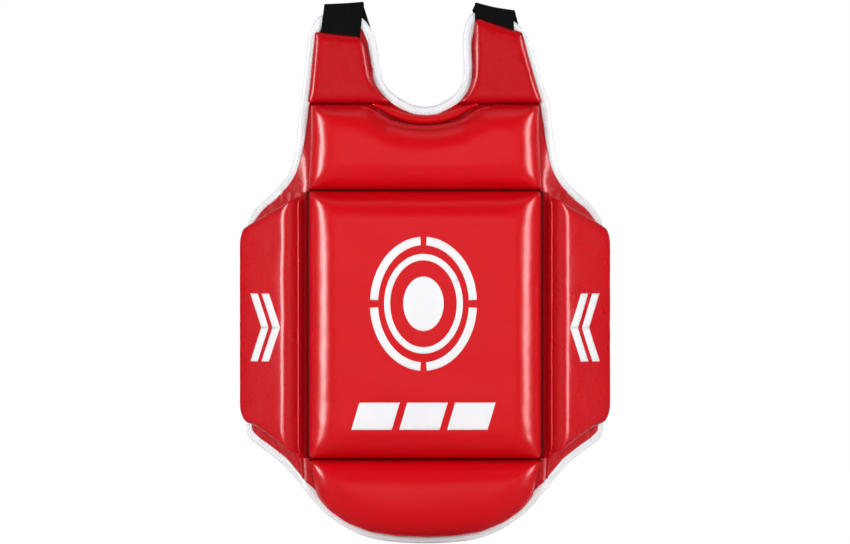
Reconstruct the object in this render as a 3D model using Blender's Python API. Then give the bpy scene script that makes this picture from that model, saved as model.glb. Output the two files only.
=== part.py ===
"""Chest protector for boxing and martial arts.

Frame: metres, +Z up, front of the protector towards -Y, wearer's left at +X.
X = 0 is the plane of symmetry, Z = 0 is the lowest point of the hem, and Y = 0 is
the middle of the ring that the padded front and the waist belt make round the
wearer.  Pieces are drawn with y = 0 on the front face of the backing sheet; the root
pivot then moves everything CENTRE_Y forwards.  Depths count forwards from that face.
Soft panels are sewn to one another along folds, so each panel is a group of solids
(cover, foam, backing, lining) and each fold is a hinge line on the body side of the
lining.
"""
import math
import bpy
import bmesh
from mathutils import Vector

for old_object in list(bpy.data.objects):
    bpy.data.objects.remove(old_object)

SIDES = ((1, "left"), (-1, "right"))    # sign of x, name

# ---------------------------------------------------------------- sheets and tape
GAP = 0.0003            # clearance between neighbouring pieces
SHEET = 0.0020          # backing sheet thickness
LINING = 0.0020         # lining thickness
COVER = 0.0013          # leather cover thickness
TAPE = 0.0008           # edge binding tape thickness
TAPE_LEG = 0.0080       # how far the folded tape reaches over the sheet
EDGE = 0.0014           # sheet edge to outside of the folded tape
TAPE_WEB = EDGE - GAP - 0.0001          # tape thickness across the sheet edge

BACKING_DEPTHS = (-SHEET, 0.0)
LINING_FRONT = -SHEET - GAP
LINING_BACK = LINING_FRONT - LINING

# ---------------------------------------------------------------- panels
HALF = 0.1160           # half width of the flat front, to the wing fold
SHEET_HALF = HALF - GAP
Y_FOLD = 0.0056         # fold lines lie on the body side of the lining
Z_LOWER = 0.0840        # fold between lower panel and belly panel
Z_CHEST = 0.3520        # fold between belly panel and chest panel
Z_TAB = 0.4380          # fold between chest panel and shoulder tabs
FLAP_X = 0.1186         # where the chest sheet's side flaps begin
FLAP_CELL = 0.0008      # least width of the first row of flap cells
WING_ANGLE = math.radians(50.0)   # how far the wings wrap back at rest
WING_W = 0.0920         # wing width from its fold to the taped edge
WING_PIVOT_Z = 0.2
CENTRE_Y = 0.0427       # backing sheet to the middle of the ring
HEM_RISE = 0.0020       # from the hem's inset ends up to the lower sheet's side edges

# ---------------------------------------------------------------- pads
# thick: depth over the backing sheet; draft: scale of the sloping side;
# corner: radius of the outline's corners
BELLY_SIZES = dict(thick=0.0340, draft=0.0050, corner=0.0145)
CHEST_SIZES = dict(thick=0.0320, draft=0.0048, corner=0.0142)
LOWER_SIZES = dict(thick=0.0290, draft=0.0045, corner=0.0135)
WING_SIZES = dict(thick=0.0205, draft=0.0032, corner=0.0100)
TAB_SIZES = dict(thick=0.0130, draft=0.0028, corner=0.0095)
# side of a pad above its base: (inset / draft, depth / thickness)
PAD_SIDE = [(0.20, 0.40), (0.62, 0.76), (1.35, 0.95), (2.4, 1.0)]
FOAM_SIDE_GAP = 1.6 * GAP       # foam to the inside of the cover, at the sides
FOAM_TOP_GAP = 2 * GAP          # and at the crown
PAD_MARGIN = 0.0012             # pad base to a fold

# ---------------------------------------------------------------- shoulder straps
STRAP_W = 0.0390        # shoulder webbing
STRAP_T = 0.0020
STRAP_X = 0.0770        # strap centre from the middle
STRAP_START_Z = 0.5100  # lower end on the shoulder tab
STRAP_MID_Z = 0.5220    # extra station on the straight run
STRAP_FRONT_Y = -0.0026     # mid thickness of the front run
STRAP_TOP_R = 0.0048    # bend radius (mid thickness) over the shoulder
STRAP_BEND_Z = 0.5342   # centre height of that bend
STRAP_BEND_STEPS = 8
TAIL_Z = 0.5300         # height at which the hanging part starts
TAIL_OVERLAP = 0.0012   # each part's reach past that height
TAIL_Y = STRAP_FRONT_Y + 2 * STRAP_TOP_R

# mid-line of the hanging part (y, z)
TAIL = [(TAIL_Y, TAIL_Z - TAIL_OVERLAP), (TAIL_Y + 0.0015, 0.5150),
        (TAIL_Y + 0.0070, 0.4950), (TAIL_Y + 0.0230, 0.3520)]

# ---------------------------------------------------------------- waist belt
BELT_LO, BELT_HI = 0.1350, 0.2050   # waist belt height range
BELT_Z = 0.5 * (BELT_LO + BELT_HI)
BELT_T = 0.0024
BELT_Y_OUT = 0.1149     # mid plane of the overlapping (outer) half
BELT_Y_IN = 0.1100      # mid plane of the underlapping (inner) half
BELT_TIP = {"left": -0.0680, "right": 0.0120}   # x of each half's free end
BELT_HINGE_U = WING_W + 0.0020      # belt hinge from the wing fold
BELT_CORNER_X = 0.1080              # where the flat run across the back begins
BELT_CORNER_STEPS = 8

# ---------------------------------------------------------------- taped outlines
# left half seen from the front (x, z)
NECK = [(0.0, 0.4346), (0.0080, 0.4356), (0.0145, 0.4376)]
TAB_OUTLINE = [(0.0155, 0.4384), (0.0255, 0.4438), (0.0335, 0.4497), (0.0390, 0.4570),
               (0.0422, 0.4650), (0.0436, 0.4800), (0.0450, 0.5000), (0.0500, 0.5150),
               (0.0560, 0.5235), (0.0640, 0.5280), (0.0960, 0.5280), (0.1020, 0.5250),
               (0.1080, 0.5160), (0.1125, 0.5040), (0.1150, 0.4890), (0.1175, 0.4740),
               (0.1205, 0.4560), (0.1235, 0.4384)]
ARMHOLE = [(0.1235, 0.4376), (0.1250, 0.4280), (0.1268, 0.4140), (0.1285, 0.3980),
           (0.1305, 0.3830), (0.1345, 0.3715), (0.1400, 0.3625), (0.1500, 0.3523)]
HEM = [(0.1150, 0.0465), (0.1108, 0.0385), (0.0995, 0.0270), (0.0830, 0.0155),
       (0.0640, 0.0072), (0.0450, 0.0026), (0.0220, 0.0006), (0.0, 0.0)]
# a wing in its own plane (distance from fold, z)
WING_TOP = [(0.0480, 0.3512), (0.0630, 0.3440), (0.0780, 0.3345), (0.0870, 0.3265),
            (WING_W, 0.3160)]
WING_BOTTOM = [(WING_W, 0.1080), (0.0870, 0.1000), (0.0730, 0.0930), (0.0520, 0.0815),
               (0.0310, 0.0690), (0.0125, 0.0560), (0.0010, 0.0480)]

# ---------------------------------------------------------------- pad outlines
# left half at the base (x, z)
BELLY_PAD = [(HALF - PAD_MARGIN, Z_LOWER + PAD_MARGIN),
             (HALF - PAD_MARGIN, Z_CHEST - PAD_MARGIN)]
CHEST_PAD = [(HALF - PAD_MARGIN, Z_CHEST + PAD_MARGIN), (0.1125, 0.4350), (0.0700, 0.4350),
             (0.0560, 0.4330), (0.0460, 0.4290), (0.0340, 0.4220), (0.0180, 0.4180),
             (0.0, 0.4165)]
LOWER_PAD = [(0.0, 0.0115), (0.0300, 0.0120), (0.0580, 0.0165), (0.0780, 0.0245),
             (0.0930, 0.0345), (0.1020, 0.0460), (0.1090, 0.0600),
             (0.1140, Z_LOWER - PAD_MARGIN)]
# whole pad at the base (distance from fold, z)
WING_PAD = [(0.0030, 0.0800), (0.0240, 0.0930), (0.0490, 0.1050), (0.0665, 0.1100),
            (0.0770, 0.1160), (0.0830, 0.1280), (0.0830, 0.3000), (0.0800, 0.3120),
            (0.0715, 0.3220), (0.0580, 0.3310), (0.0330, 0.3400), (0.0030, 0.3505)]
# whole pad of the left tab at the base (x, z)
TAB_PAD = [(0.0440, 0.4400), (0.1130, 0.4400), (0.1085, 0.4700), (0.1055, 0.4950),
           (0.1035, 0.5090), (0.0560, 0.5090), (0.0535, 0.4950), (0.0520, 0.4700)]

# ---------------------------------------------------------------- materials
MATERIALS = {
    "leather_red": dict(colour=(0.62, 0.018, 0.028, 1), roughness=0.38),
    "backing_red": dict(colour=(0.45, 0.012, 0.022, 1), roughness=0.45),
    "foam": dict(colour=(0.80, 0.78, 0.70, 1), roughness=0.90),
    "lining_black": dict(colour=(0.018, 0.018, 0.020, 1), roughness=0.85),
    "tape_white": dict(colour=(0.83, 0.85, 0.87, 1), roughness=0.45),
    "webbing_black": dict(colour=(0.014, 0.014, 0.016, 1), roughness=0.75),
    "plastic_black": dict(colour=(0.020, 0.020, 0.022, 1), roughness=0.40),
    "elastic_black": dict(colour=(0.022, 0.022, 0.025, 1), roughness=0.80),
    "hook_black": dict(colour=(0.028, 0.028, 0.030, 1), roughness=0.95),
}


def make_material(name, colour, roughness):
    mat = bpy.data.materials.new(name + "_mat")
    mat.use_nodes = True
    shader = mat.node_tree.nodes["Principled BSDF"]
    shader.inputs["Base Color"].default_value = colour
    shader.inputs["Roughness"].default_value = roughness
    mat.diffuse_color = colour
    return mat


# ---------------------------------------------------------------- objects
PIVOTS = {}             # pivot name -> its drawn position
SHARP_ANGLE = math.radians(35)
MERGE_DISTANCE = 1e-7


def add_pivot(name, position, parent=None):
    """Empty at a drawn position; the root is moved forwards by CENTRE_Y."""
    pivot = bpy.data.objects.new(name, None)
    bpy.context.scene.collection.objects.link(pivot)
    pivot.empty_display_size = 0.02
    PIVOTS[name] = Vector(position)
    if parent:
        pivot.parent = bpy.data.objects[parent]
        pivot.location = PIVOTS[name] - PIVOTS[parent]
    else:
        pivot.location = PIVOTS[name] - Vector((0, CENTRE_Y, 0))


def finish(name, bm, kind, pivot, smooth=True):
    """Turn a bmesh (drawn coordinates) into a named object on its pivot."""
    bmesh.ops.remove_doubles(bm, verts=bm.verts, dist=MERGE_DISTANCE)
    bmesh.ops.recalc_face_normals(bm, faces=bm.faces)
    if bm.calc_volume(signed=True) < 0:
        bmesh.ops.reverse_faces(bm, faces=bm.faces)
    bmesh.ops.translate(bm, verts=bm.verts, vec=-PIVOTS[pivot])
    mesh = bpy.data.meshes.new(name)
    bm.to_mesh(mesh)
    bm.free()
    obj = bpy.data.objects.new(name, mesh)
    bpy.context.scene.collection.objects.link(obj)
    mesh.materials.append(make_material(name, **MATERIALS[kind]))
    obj.parent = bpy.data.objects[pivot]
    if smooth:
        mesh.shade_smooth()
        mesh.set_sharp_from_angle(angle=SHARP_ANGLE)
    return obj


def add_boolean(body, tool, operation):
    """Combine a body with a hidden helper solid."""
    tool.hide_render = True
    tool.display_type = 'WIRE'
    modifier = body.modifiers.new(tool.name, 'BOOLEAN')
    modifier.operation = operation
    modifier.object = tool


# ---------------------------------------------------------------- 2D helpers
MITRE_LIMIT = 0.35      # least divisor of a mitre, so that sharp corners stay short
STRAIGHT_COSINE = -0.80     # corners flatter than this are not rounded
CORNER_STEPS = 3


def rect(x0, z0, x1, z1):
    return [(x0, z0), (x1, z0), (x1, z1), (x0, z1)]


def mirror_x(points):
    """Left-half outline -> whole closed outline."""
    return list(points) + [(-x, z) for x, z in reversed(points) if abs(x) > 1e-9]


def ccw(outline):
    """The closed outline, turned to run counter-clockwise."""
    twice_area = sum(a[0] * b[1] - b[0] * a[1]
                     for a, b in zip(outline, outline[1:] + outline[:1]))
    return outline if twice_area > 0 else outline[::-1]


def unit(dx, dz):
    """Direction of length 1; a zero step stays zero."""
    length = math.hypot(dx, dz) or 1.0
    return dx / length, dz / length


def direction(start, end):
    return unit(end[0] - start[0], end[1] - start[1])


def inset(outline, distance, closed=True):
    """Mitred offset to the left of travel: inwards on a ccw outline."""
    moved = []
    last = len(outline) - 1
    for i, (x, z) in enumerate(outline):
        before = direction(outline[i - 1], (x, z))
        after = direction((x, z), outline[(i + 1) % len(outline)])
        if not closed and i == 0:
            before = after
        if not closed and i == last:
            after = before
        mitre_x = -before[1] - after[1]
        mitre_z = before[0] + after[0]
        divisor = max(MITRE_LIMIT, (mitre_x * mitre_x + mitre_z * mitre_z) / 2.0)
        moved.append((x + mitre_x * distance / divisor, z + mitre_z * distance / divisor))
    return moved


def inset_line(line, distance, start_cut, end_cut):
    """Offset an open outline; each end slides along its own cut direction."""
    moved = inset(line, distance, closed=False)
    for end, cut, p, q in ((0, start_cut, line[0], line[1]),
                           (-1, end_cut, line[-2], line[-1])):
        travel = direction(p, q)
        slope = abs(-travel[1] * cut[0] + travel[0] * cut[1])
        x, z = line[end]
        moved[end] = (x + cut[0] * distance / slope, z + cut[1] * distance / slope)
    if start_cut[1] == 0 and end_cut[1] == 0:
        # both ends are cut level: an outline above the cuts stays above the lower
        # one, any other stays below the upper one
        floor, ceiling = sorted((line[0][1], line[-1][1]))
        if max(z for _, z in line) > ceiling + 1e-6:
            moved = [(x, max(z, floor)) for x, z in moved]
        else:
            moved = [(x, min(z, ceiling)) for x, z in moved]
    return moved


def rounded(outline, radius):
    """Replace each sharp corner of a closed outline by an arc."""
    points = []
    for i, (x, z) in enumerate(outline):
        to_a = direction((x, z), outline[i - 1])
        to_b = direction((x, z), outline[(i + 1) % len(outline)])
        cosine = max(-1.0, min(1.0, to_a[0] * to_b[0] + to_a[1] * to_b[1]))
        if cosine < STRAIGHT_COSINE:
            points.append((x, z))
            continue
        corner = math.acos(cosine)
        bisector = unit(to_a[0] + to_b[0], to_a[1] + to_b[1])
        reach = radius / math.sin(corner / 2)
        centre_x, centre_z = x + bisector[0] * reach, z + bisector[1] * reach
        tangent = radius / math.tan(corner / 2)
        # radius vector to the arc's first point
        arm_x = x + to_a[0] * tangent - centre_x
        arm_z = z + to_a[1] * tangent - centre_z
        cross = to_a[0] * to_b[1] - to_a[1] * to_b[0]
        sweep = (math.pi - corner) * (-1 if cross > 0 else 1)
        for step in range(CORNER_STEPS + 1):
            turn = sweep * step / CORNER_STEPS
            points.append((centre_x + arm_x * math.cos(turn) - arm_z * math.sin(turn),
                           centre_z + arm_x * math.sin(turn) + arm_z * math.cos(turn)))
    return points


# ---------------------------------------------------------------- placement maps
# Each map takes two coordinates in a piece's plane and a depth out of it.
def flat_map(x, z, depth):
    """Front of the body."""
    return Vector((x, -depth, z))


def wing_map(side):
    """Wing plane: u from the fold, z up, depth outwards from the backing sheet."""
    c, s = math.cos(WING_ANGLE), math.sin(WING_ANGLE)

    def place(u, z, depth):
        w = -Y_FOLD - depth
        return Vector((side * (HALF + u * c - w * s), Y_FOLD + u * s + w * c, z))
    return place


def flap_angle(z):
    """The chest sheet's side flaps turn back more and more towards the wing."""
    t = min(1.0, max(0.0, (Z_TAB - z) / (Z_TAB - Z_CHEST)))
    return WING_ANGLE * t * t * (3 - 2 * t)


def chest_map(x, z, depth):
    """Flat in the middle, turned back beyond FLAP_X; the bend line is mitred."""
    from_middle = abs(x)
    if from_middle < FLAP_X - 1e-6:
        return flat_map(x, z, depth)
    angle = flap_angle(z)
    lean = angle * (0.5 if from_middle < FLAP_X + 1e-6 else 1.0)
    side = 1 if x > 0 else -1
    y = (from_middle - FLAP_X) * math.tan(angle)
    return Vector((x + side * depth * math.sin(lean), y - depth * math.cos(lean), z))


def frame_map(origin, across, along, out):
    """Plane through origin, spanned by across and along, with depth along out."""
    def place(x, z, depth):
        return origin + across * x + along * z + out * depth
    return place


# ---------------------------------------------------------------- solids
def sheet(name, cells, mapping, depths, kind, pivot):
    """Plate made of planar cells that share vertices, between two depths."""
    bm = bmesh.new()
    verts = {}

    def key(point):
        return round(point[0], 7), round(point[1], 7)

    def vert(point, face):
        label = key(point), face
        if label not in verts:
            verts[label] = bm.verts.new(mapping(*point, depths[face]))
        return verts[label]

    rim = {}            # edges that belong to one cell only
    for cell in cells:
        cell = ccw(cell)
        for face in (0, 1):
            corners = [vert(p, face) for p in cell]
            bm.faces.new(corners if face else corners[::-1])
        for a, b in zip(cell, cell[1:] + cell[:1]):
            if (key(b), key(a)) in rim:
                del rim[(key(b), key(a))]
            else:
                rim[(key(a), key(b))] = (a, b)
    for a, b in rim.values():
        bm.faces.new([vert(a, 0), vert(b, 0), vert(b, 1), vert(a, 1)])
    return finish(name, bm, kind, pivot)


def panel_sheets(prefix, cells, mapping, pivot):
    """Backing sheet and the lining behind it."""
    sheet(prefix + "_backing", cells, mapping, BACKING_DEPTHS, "backing_red", pivot)
    sheet(prefix + "_lining", cells, mapping, (LINING_BACK, LINING_FRONT), "lining_black",
          pivot)


def bridge(bm, row_a, row_b):
    """Quads between two closed rows of vertices."""
    for i in range(len(row_a)):
        j = (i + 1) % len(row_a)
        bm.faces.new([row_a[i], row_a[j], row_b[j], row_b[i]])


def loft(bm, rings, closed_base=True):
    """Skin over closed rings of points, capped at the last and usually the first."""
    rows = [[bm.verts.new(p) for p in ring] for ring in rings]
    for row_a, row_b in zip(rows, rows[1:]):
        bridge(bm, row_a, row_b)
    if closed_base:
        bm.faces.new(rows[0][::-1])
    bm.faces.new(rows[-1])
    return rows


def pad_rings(outline, mapping, shrink, thick, draft):
    """Rings of a box-sewn pad from base to crown, on an outline moved in by shrink."""
    levels = [(0.0, GAP)] + [(a * draft, d * thick) for a, d in PAD_SIDE]
    return [[mapping(x, z, depth) for x, z in inset(outline, a + shrink)]
            for a, depth in levels]


def pad(prefix, outline, mapping, pivot, thick, draft, corner):
    """Open-backed leather shell and the foam block inside it."""
    outline = ccw(rounded(outline, corner))
    bm = bmesh.new()
    outer = loft(bm, pad_rings(outline, mapping, 0.0, thick, draft), closed_base=False)
    inner = loft(bm, pad_rings(outline, mapping, COVER, thick - COVER, draft),
                 closed_base=False)
    bridge(bm, outer[0], inner[0])
    finish(prefix + "_cover", bm, "leather_red", pivot)

    bm = bmesh.new()
    loft(bm, pad_rings(outline, mapping, COVER + FOAM_SIDE_GAP,
                       thick - COVER - FOAM_TOP_GAP, draft))
    finish(prefix + "_foam", bm, "foam", pivot, smooth=False)


# section of the folded tape: (distance in from its outer edge, depth)
TAPE_PROFILE = [(0.0, GAP + TAPE), (TAPE_LEG, GAP + TAPE), (TAPE_LEG, GAP), (TAPE_WEB, GAP),
                (TAPE_WEB, LINING_BACK - GAP), (TAPE_LEG, LINING_BACK - GAP),
                (TAPE_LEG, LINING_BACK - GAP - TAPE), (0.0, LINING_BACK - GAP - TAPE)]


def tape_rows(name, outline_at, mapping, pivot):
    """Folded tape: outline_at(a) gives the outline moved inwards by a."""
    outlines = {a: outline_at(a) for a, _ in TAPE_PROFILE}
    bm = bmesh.new()
    rows = [[bm.verts.new(mapping(*outlines[a][i], depth)) for a, depth in TAPE_PROFILE]
            for i in range(len(outlines[0.0]))]
    for row_a, row_b in zip(rows, rows[1:]):
        for i in range(len(TAPE_PROFILE)):
            j = (i + 1) % len(TAPE_PROFILE)
            # the diagonal runs from the inner side of one row to the outer side of the next
            if TAPE_PROFILE[i][0] >= TAPE_PROFILE[j][0]:
                bm.faces.new([row_a[i], row_b[i], row_b[j]])
                bm.faces.new([row_a[i], row_b[j], row_a[j]])
            else:
                bm.faces.new([row_a[i], row_b[i], row_a[j]])
                bm.faces.new([row_b[i], row_b[j], row_a[j]])
    bm.faces.new(rows[0])
    bm.faces.new(rows[-1][::-1])
    finish(name, bm, "tape_white", pivot)


def tape(name, line, mapping, cuts, pivot):
    """Binding tape folded round the sheet edge; the sheet is left of travel."""
    tape_rows(name, lambda a: inset_line(line, a, *cuts), mapping, pivot)


def band(name, path, width_axis, half_width, thick, kind, pivot, smooth=True):
    """Flat webbing along a mid-line; width_axis is a unit vector across it."""
    across = Vector(width_axis)
    points = [Vector(p) for p in path]
    rings = []
    for i, point in enumerate(points):
        before = (point - points[i - 1] if i else points[1] - point).normalized()
        after = (points[i + 1] - point).normalized() if i < len(points) - 1 else before
        travel = (before + after).normalized()
        normal = across.cross(travel).normalized() * (thick / 2)
        normal = normal / max(0.5, travel.dot(before))      # mitre at a bend
        rings.append([point + side * across * half_width + face * normal
                      for side, face in ((-1, -1), (1, -1), (1, 1), (-1, 1))])
    bm = bmesh.new()
    loft(bm, rings)
    finish(name, bm, kind, pivot, smooth)


def prism(name, loops, mapping, half_depth, pivot):
    """Plastic plate with holes: loops[0] is the outline, the others are holes."""
    bm = bmesh.new()
    faces = []
    for depth in (-half_depth, half_depth):
        rows = []
        edges = []
        for loop in loops:
            row = [bm.verts.new(mapping(x, z, depth)) for x, z in loop]
            edges += [bm.edges.new(pair) for pair in zip(row, row[1:] + row[:1])]
            rows.append(row)
        bmesh.ops.triangle_fill(bm, use_beauty=True, use_dissolve=False, edges=edges)
        faces.append(rows)
    for row_a, row_b in zip(*faces):
        bridge(bm, row_a, row_b)
    return finish(name, bm, "plastic_black", pivot)


def box(name, low, high, mapping, pivot):
    """Plastic block between two corners given in the map's coordinates."""
    bm = bmesh.new()
    verts = [bm.verts.new(mapping(x, z, depth))
             for x in (low[0], high[0]) for z in (low[1], high[1])
             for depth in (low[2], high[2])]
    for face in ((0, 1, 3, 2), (4, 6, 7, 5), (0, 4, 5, 1),
                 (2, 3, 7, 6), (0, 2, 6, 4), (1, 5, 7, 3)):
        bm.faces.new([verts[i] for i in face])
    return finish(name, bm, "plastic_black", pivot, smooth=False)


# ---------------------------------------------------------------- front panels
def add_fold_pivots():
    add_pivot("belly_frame", (0, Y_FOLD, 0))
    add_pivot("chest_pivot", (0, Y_FOLD, Z_CHEST), "belly_frame")
    add_pivot("lower_pivot", (0, Y_FOLD, Z_LOWER), "belly_frame")
    for side, tag in SIDES:
        add_pivot("wing_%s_pivot" % tag, (side * HALF, Y_FOLD, WING_PIVOT_Z), "belly_frame")
        add_pivot("shoulder_%s_pivot" % tag, (side * STRAP_X, Y_FOLD, Z_TAB), "chest_pivot")


def build_belly():
    outline = rect(-SHEET_HALF, Z_LOWER + GAP, SHEET_HALF, Z_CHEST - GAP)
    panel_sheets("belly", [outline], flat_map, "belly_frame")
    pad("belly", mirror_x(BELLY_PAD), flat_map, "belly_frame", **BELLY_SIZES)


def build_lower():
    hem = [(-x, z) for x, z in HEM] + HEM[-2::-1]
    cuts = ((0, 1), (0, 1))
    edge = inset_line(hem, EDGE, *cuts)
    outline = edge + [(SHEET_HALF, edge[-1][1] + HEM_RISE), (SHEET_HALF, Z_LOWER - GAP),
                      (-SHEET_HALF, Z_LOWER - GAP), (-SHEET_HALF, edge[0][1] + HEM_RISE)]
    panel_sheets("lower", [outline], flat_map, "lower_pivot")
    pad("lower", mirror_x(LOWER_PAD), flat_map, "lower_pivot", **LOWER_SIZES)
    tape("hem_binding", hem, flat_map, cuts, "lower_pivot")


def armhole_rows(distance, side=1):
    """Armhole outline moved level inwards by a distance measured square to it."""
    rows = []
    # a trial offset of 1 mm gives the slope of the mitre at each point
    for (x, z), (trial_x, trial_z) in zip(ARMHOLE, inset(ARMHOLE, -0.001, closed=False)):
        stretch = math.hypot(trial_x - x, trial_z - z) / abs(trial_x - x)
        rows.append((side * (x - distance * stretch), z))
    return rows


def chest_cells(neck_edge):
    """Middle cell with the neckline, then triangles of flap on each side."""
    outer = armhole_rows(EDGE)
    inner = [(max(x, FLAP_X + FLAP_CELL), z) for x, z in armhole_rows(TAPE_LEG)]
    bend = [(FLAP_X, z) for _, z in outer]
    cells = [bend[::-1] + neck_edge + [(-x, z) for x, z in bend]]
    for i in range(len(outer) - 1):
        for side in (1, -1):
            for near, far in ((bend, inner), (inner, outer)):
                for triangle in ((near[i], far[i], far[i + 1]),
                                 (near[i], far[i + 1], near[i + 1])):
                    cells.append([(side * x, z) for x, z in triangle])
    return cells


def build_chest():
    neck = NECK[::-1] + [(-x, z) for x, z in NECK[1:]]
    cuts = ((1, 0), (-1, 0))
    cells = chest_cells(inset_line(neck, EDGE, *cuts))
    panel_sheets("chest", cells, chest_map, "chest_pivot")
    pad("chest", mirror_x(CHEST_PAD), flat_map, "chest_pivot", **CHEST_SIZES)
    tape("neck_binding", neck, flat_map, cuts, "chest_pivot")
    for side, tag in SIDES:
        tape_rows("armhole_binding_" + tag, lambda a, side=side: armhole_rows(a, side),
                  chest_map, "chest_pivot")


def build_shoulder_tab(side, tag):
    prefix = "shoulder_" + tag
    pivot = prefix + "_pivot"
    line = [(side * x, z) for x, z in TAB_OUTLINE]
    if side > 0:
        line = line[::-1]       # so that the tab lies left of travel
    cuts = ((-1, 0), (1, 0))
    panel_sheets(prefix, [inset_line(line, EDGE, *cuts)], flat_map, pivot)
    pad(prefix, [(side * x, z) for x, z in TAB_PAD], flat_map, pivot, **TAB_SIZES)
    tape(prefix + "_binding", line, flat_map, cuts, pivot)


def build_wing(side, tag):
    prefix = "wing_" + tag
    pivot = prefix + "_pivot"
    mapping = wing_map(side)
    line = WING_BOTTOM[::-1] + WING_TOP[::-1]
    cuts = ((0, 1), (-1, 0))
    edge = inset_line(line, EDGE, *cuts)
    outline = [(GAP, edge[-1][1]), (GAP, edge[0][1])] + edge
    panel_sheets(prefix, [outline], mapping, pivot)
    pad(prefix, WING_PAD, mapping, pivot, **WING_SIZES)
    tape(prefix + "_binding", line, mapping, cuts, pivot)


# ---------------------------------------------------------------- shoulder straps
X_AXIS, Y_AXIS, Z_AXIS = Vector((1, 0, 0)), Vector((0, 1, 0)), Vector((0, 0, 1))
TAIL_DOWN = Vector((0, TAIL[3][0] - TAIL[2][0], TAIL[3][1] - TAIL[2][1])).normalized()
TAIL_REAR = Vector((0, -TAIL_DOWN.z, TAIL_DOWN.y))      # square to the tail, towards +Y

SLIDER_DROP = 0.0450        # slider centre below the tail's third station
SLIDER_HALF = 0.0130        # half length along the webbing
SLIDER_END_BAR = 0.0092     # inner edge of the end bars from the centre
SLIDER_MID_BAR = 0.0026     # half length of the middle bar
SLIDER_BAR_T = 0.0022       # bar thickness
SLIDER_RAIL_X = STRAP_W / 2 + 0.0010    # inner side of the side rails
SLIDER_RAIL_W = 0.0032
SLIDER_OVERLAP = 0.0012     # bars run this far into the rails
SLIDER_BAR_Y = STRAP_T / 2 + 0.0004     # bars clear the webbing

PLUG_START = 0.0012         # plug plate below the end of the webbing
PLUG_PIVOT = 0.0034         # plug pivot below the end of the webbing
PLUG_HALF_T = 0.0026
# plate with two side prongs and a middle one (x, distance down the tail)
PLUG_OUTLINE = [(-0.0235, 0.0), (0.0235, 0.0), (0.0235, 0.0120), (0.0180, 0.0150),
                (0.0180, 0.0270), (0.0205, 0.0300), (0.0175, 0.0420), (0.0140, 0.0420),
                (0.0140, 0.0180), (0.0030, 0.0180), (0.0025, 0.0400), (-0.0025, 0.0400),
                (-0.0030, 0.0180), (-0.0140, 0.0180), (-0.0140, 0.0420), (-0.0175, 0.0420),
                (-0.0205, 0.0300), (-0.0180, 0.0270), (-0.0180, 0.0150), (-0.0235, 0.0120)]
PLUG_SLOT = rect(-0.0200, 0.0032, 0.0200, 0.0072)


def build_strap_front(x, tag):
    """Webbing up the front of the tab and over the bend at the shoulder."""
    centre_y = STRAP_FRONT_Y + STRAP_TOP_R
    path = [(x, STRAP_FRONT_Y, z) for z in (STRAP_START_Z, STRAP_MID_Z, STRAP_BEND_Z)]
    for step in range(1, STRAP_BEND_STEPS):
        turn = math.pi * step / STRAP_BEND_STEPS
        path.append((x, centre_y - STRAP_TOP_R * math.cos(turn),
                     STRAP_BEND_Z + STRAP_TOP_R * math.sin(turn)))
    path += [(x, TAIL_Y, STRAP_BEND_Z), (x, TAIL_Y, TAIL_Z + TAIL_OVERLAP)]
    band("strap_front_" + tag, path, X_AXIS, STRAP_W / 2, STRAP_T, "webbing_black",
         "shoulder_%s_pivot" % tag)


def build_slider(x, tag):
    """Three-bar slider on the hanging webbing: boxes joined by Boolean unions."""
    centre = Vector((x, *TAIL[2])) + TAIL_DOWN * SLIDER_DROP
    pivot = "slider_%s_pivot" % tag
    add_pivot(pivot, centre, "strap_%s_pivot" % tag)
    mapping = frame_map(centre, X_AXIS, TAIL_DOWN, TAIL_REAR)
    rail_in, rail_out = SLIDER_RAIL_X, SLIDER_RAIL_X + SLIDER_RAIL_W
    bar_x = SLIDER_RAIL_X + SLIDER_OVERLAP
    near, far = SLIDER_BAR_Y, SLIDER_BAR_Y + SLIDER_BAR_T
    boxes = [
        # side rails
        ((-rail_out, -SLIDER_HALF, -far), (-rail_in, SLIDER_HALF, far)),
        ((rail_in, -SLIDER_HALF, -far), (rail_out, SLIDER_HALF, far)),
        # end bars behind the webbing
        ((-bar_x, -SLIDER_HALF, near), (bar_x, -SLIDER_END_BAR, far)),
        ((-bar_x, SLIDER_END_BAR, near), (bar_x, SLIDER_HALF, far)),
        # middle bar in front of it
        ((-bar_x, -SLIDER_MID_BAR, -far), (bar_x, SLIDER_MID_BAR, -near)),
    ]
    name = "slider_" + tag
    parts = [box("%s_join_%d" % (name, k) if k else name, low, high, mapping, pivot)
             for k, (low, high) in enumerate(boxes)]
    for part in parts[1:]:
        add_boolean(parts[0], part, 'UNION')


def build_plug(x, tag):
    """Plug half of the side-release buckle at the end of the hanging webbing."""
    tip = Vector((x, *TAIL[3]))
    pivot = "plug_%s_pivot" % tag
    add_pivot(pivot, tip + TAIL_DOWN * PLUG_PIVOT, "strap_%s_pivot" % tag)
    mapping = frame_map(tip + TAIL_DOWN * PLUG_START, X_AXIS, TAIL_DOWN, TAIL_REAR)
    prism("buckle_plug_" + tag, [PLUG_OUTLINE, PLUG_SLOT], mapping, PLUG_HALF_T, pivot)


def build_strap(side, tag):
    x = side * STRAP_X
    build_strap_front(x, tag)
    pivot = "strap_%s_pivot" % tag
    add_pivot(pivot, (x, TAIL_Y, TAIL_Z), "shoulder_%s_pivot" % tag)
    band("strap_back_" + tag, [(x, y, z) for y, z in TAIL], X_AXIS, STRAP_W / 2, STRAP_T,
         "webbing_black", pivot)
    build_slider(x, tag)
    build_plug(x, tag)


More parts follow.
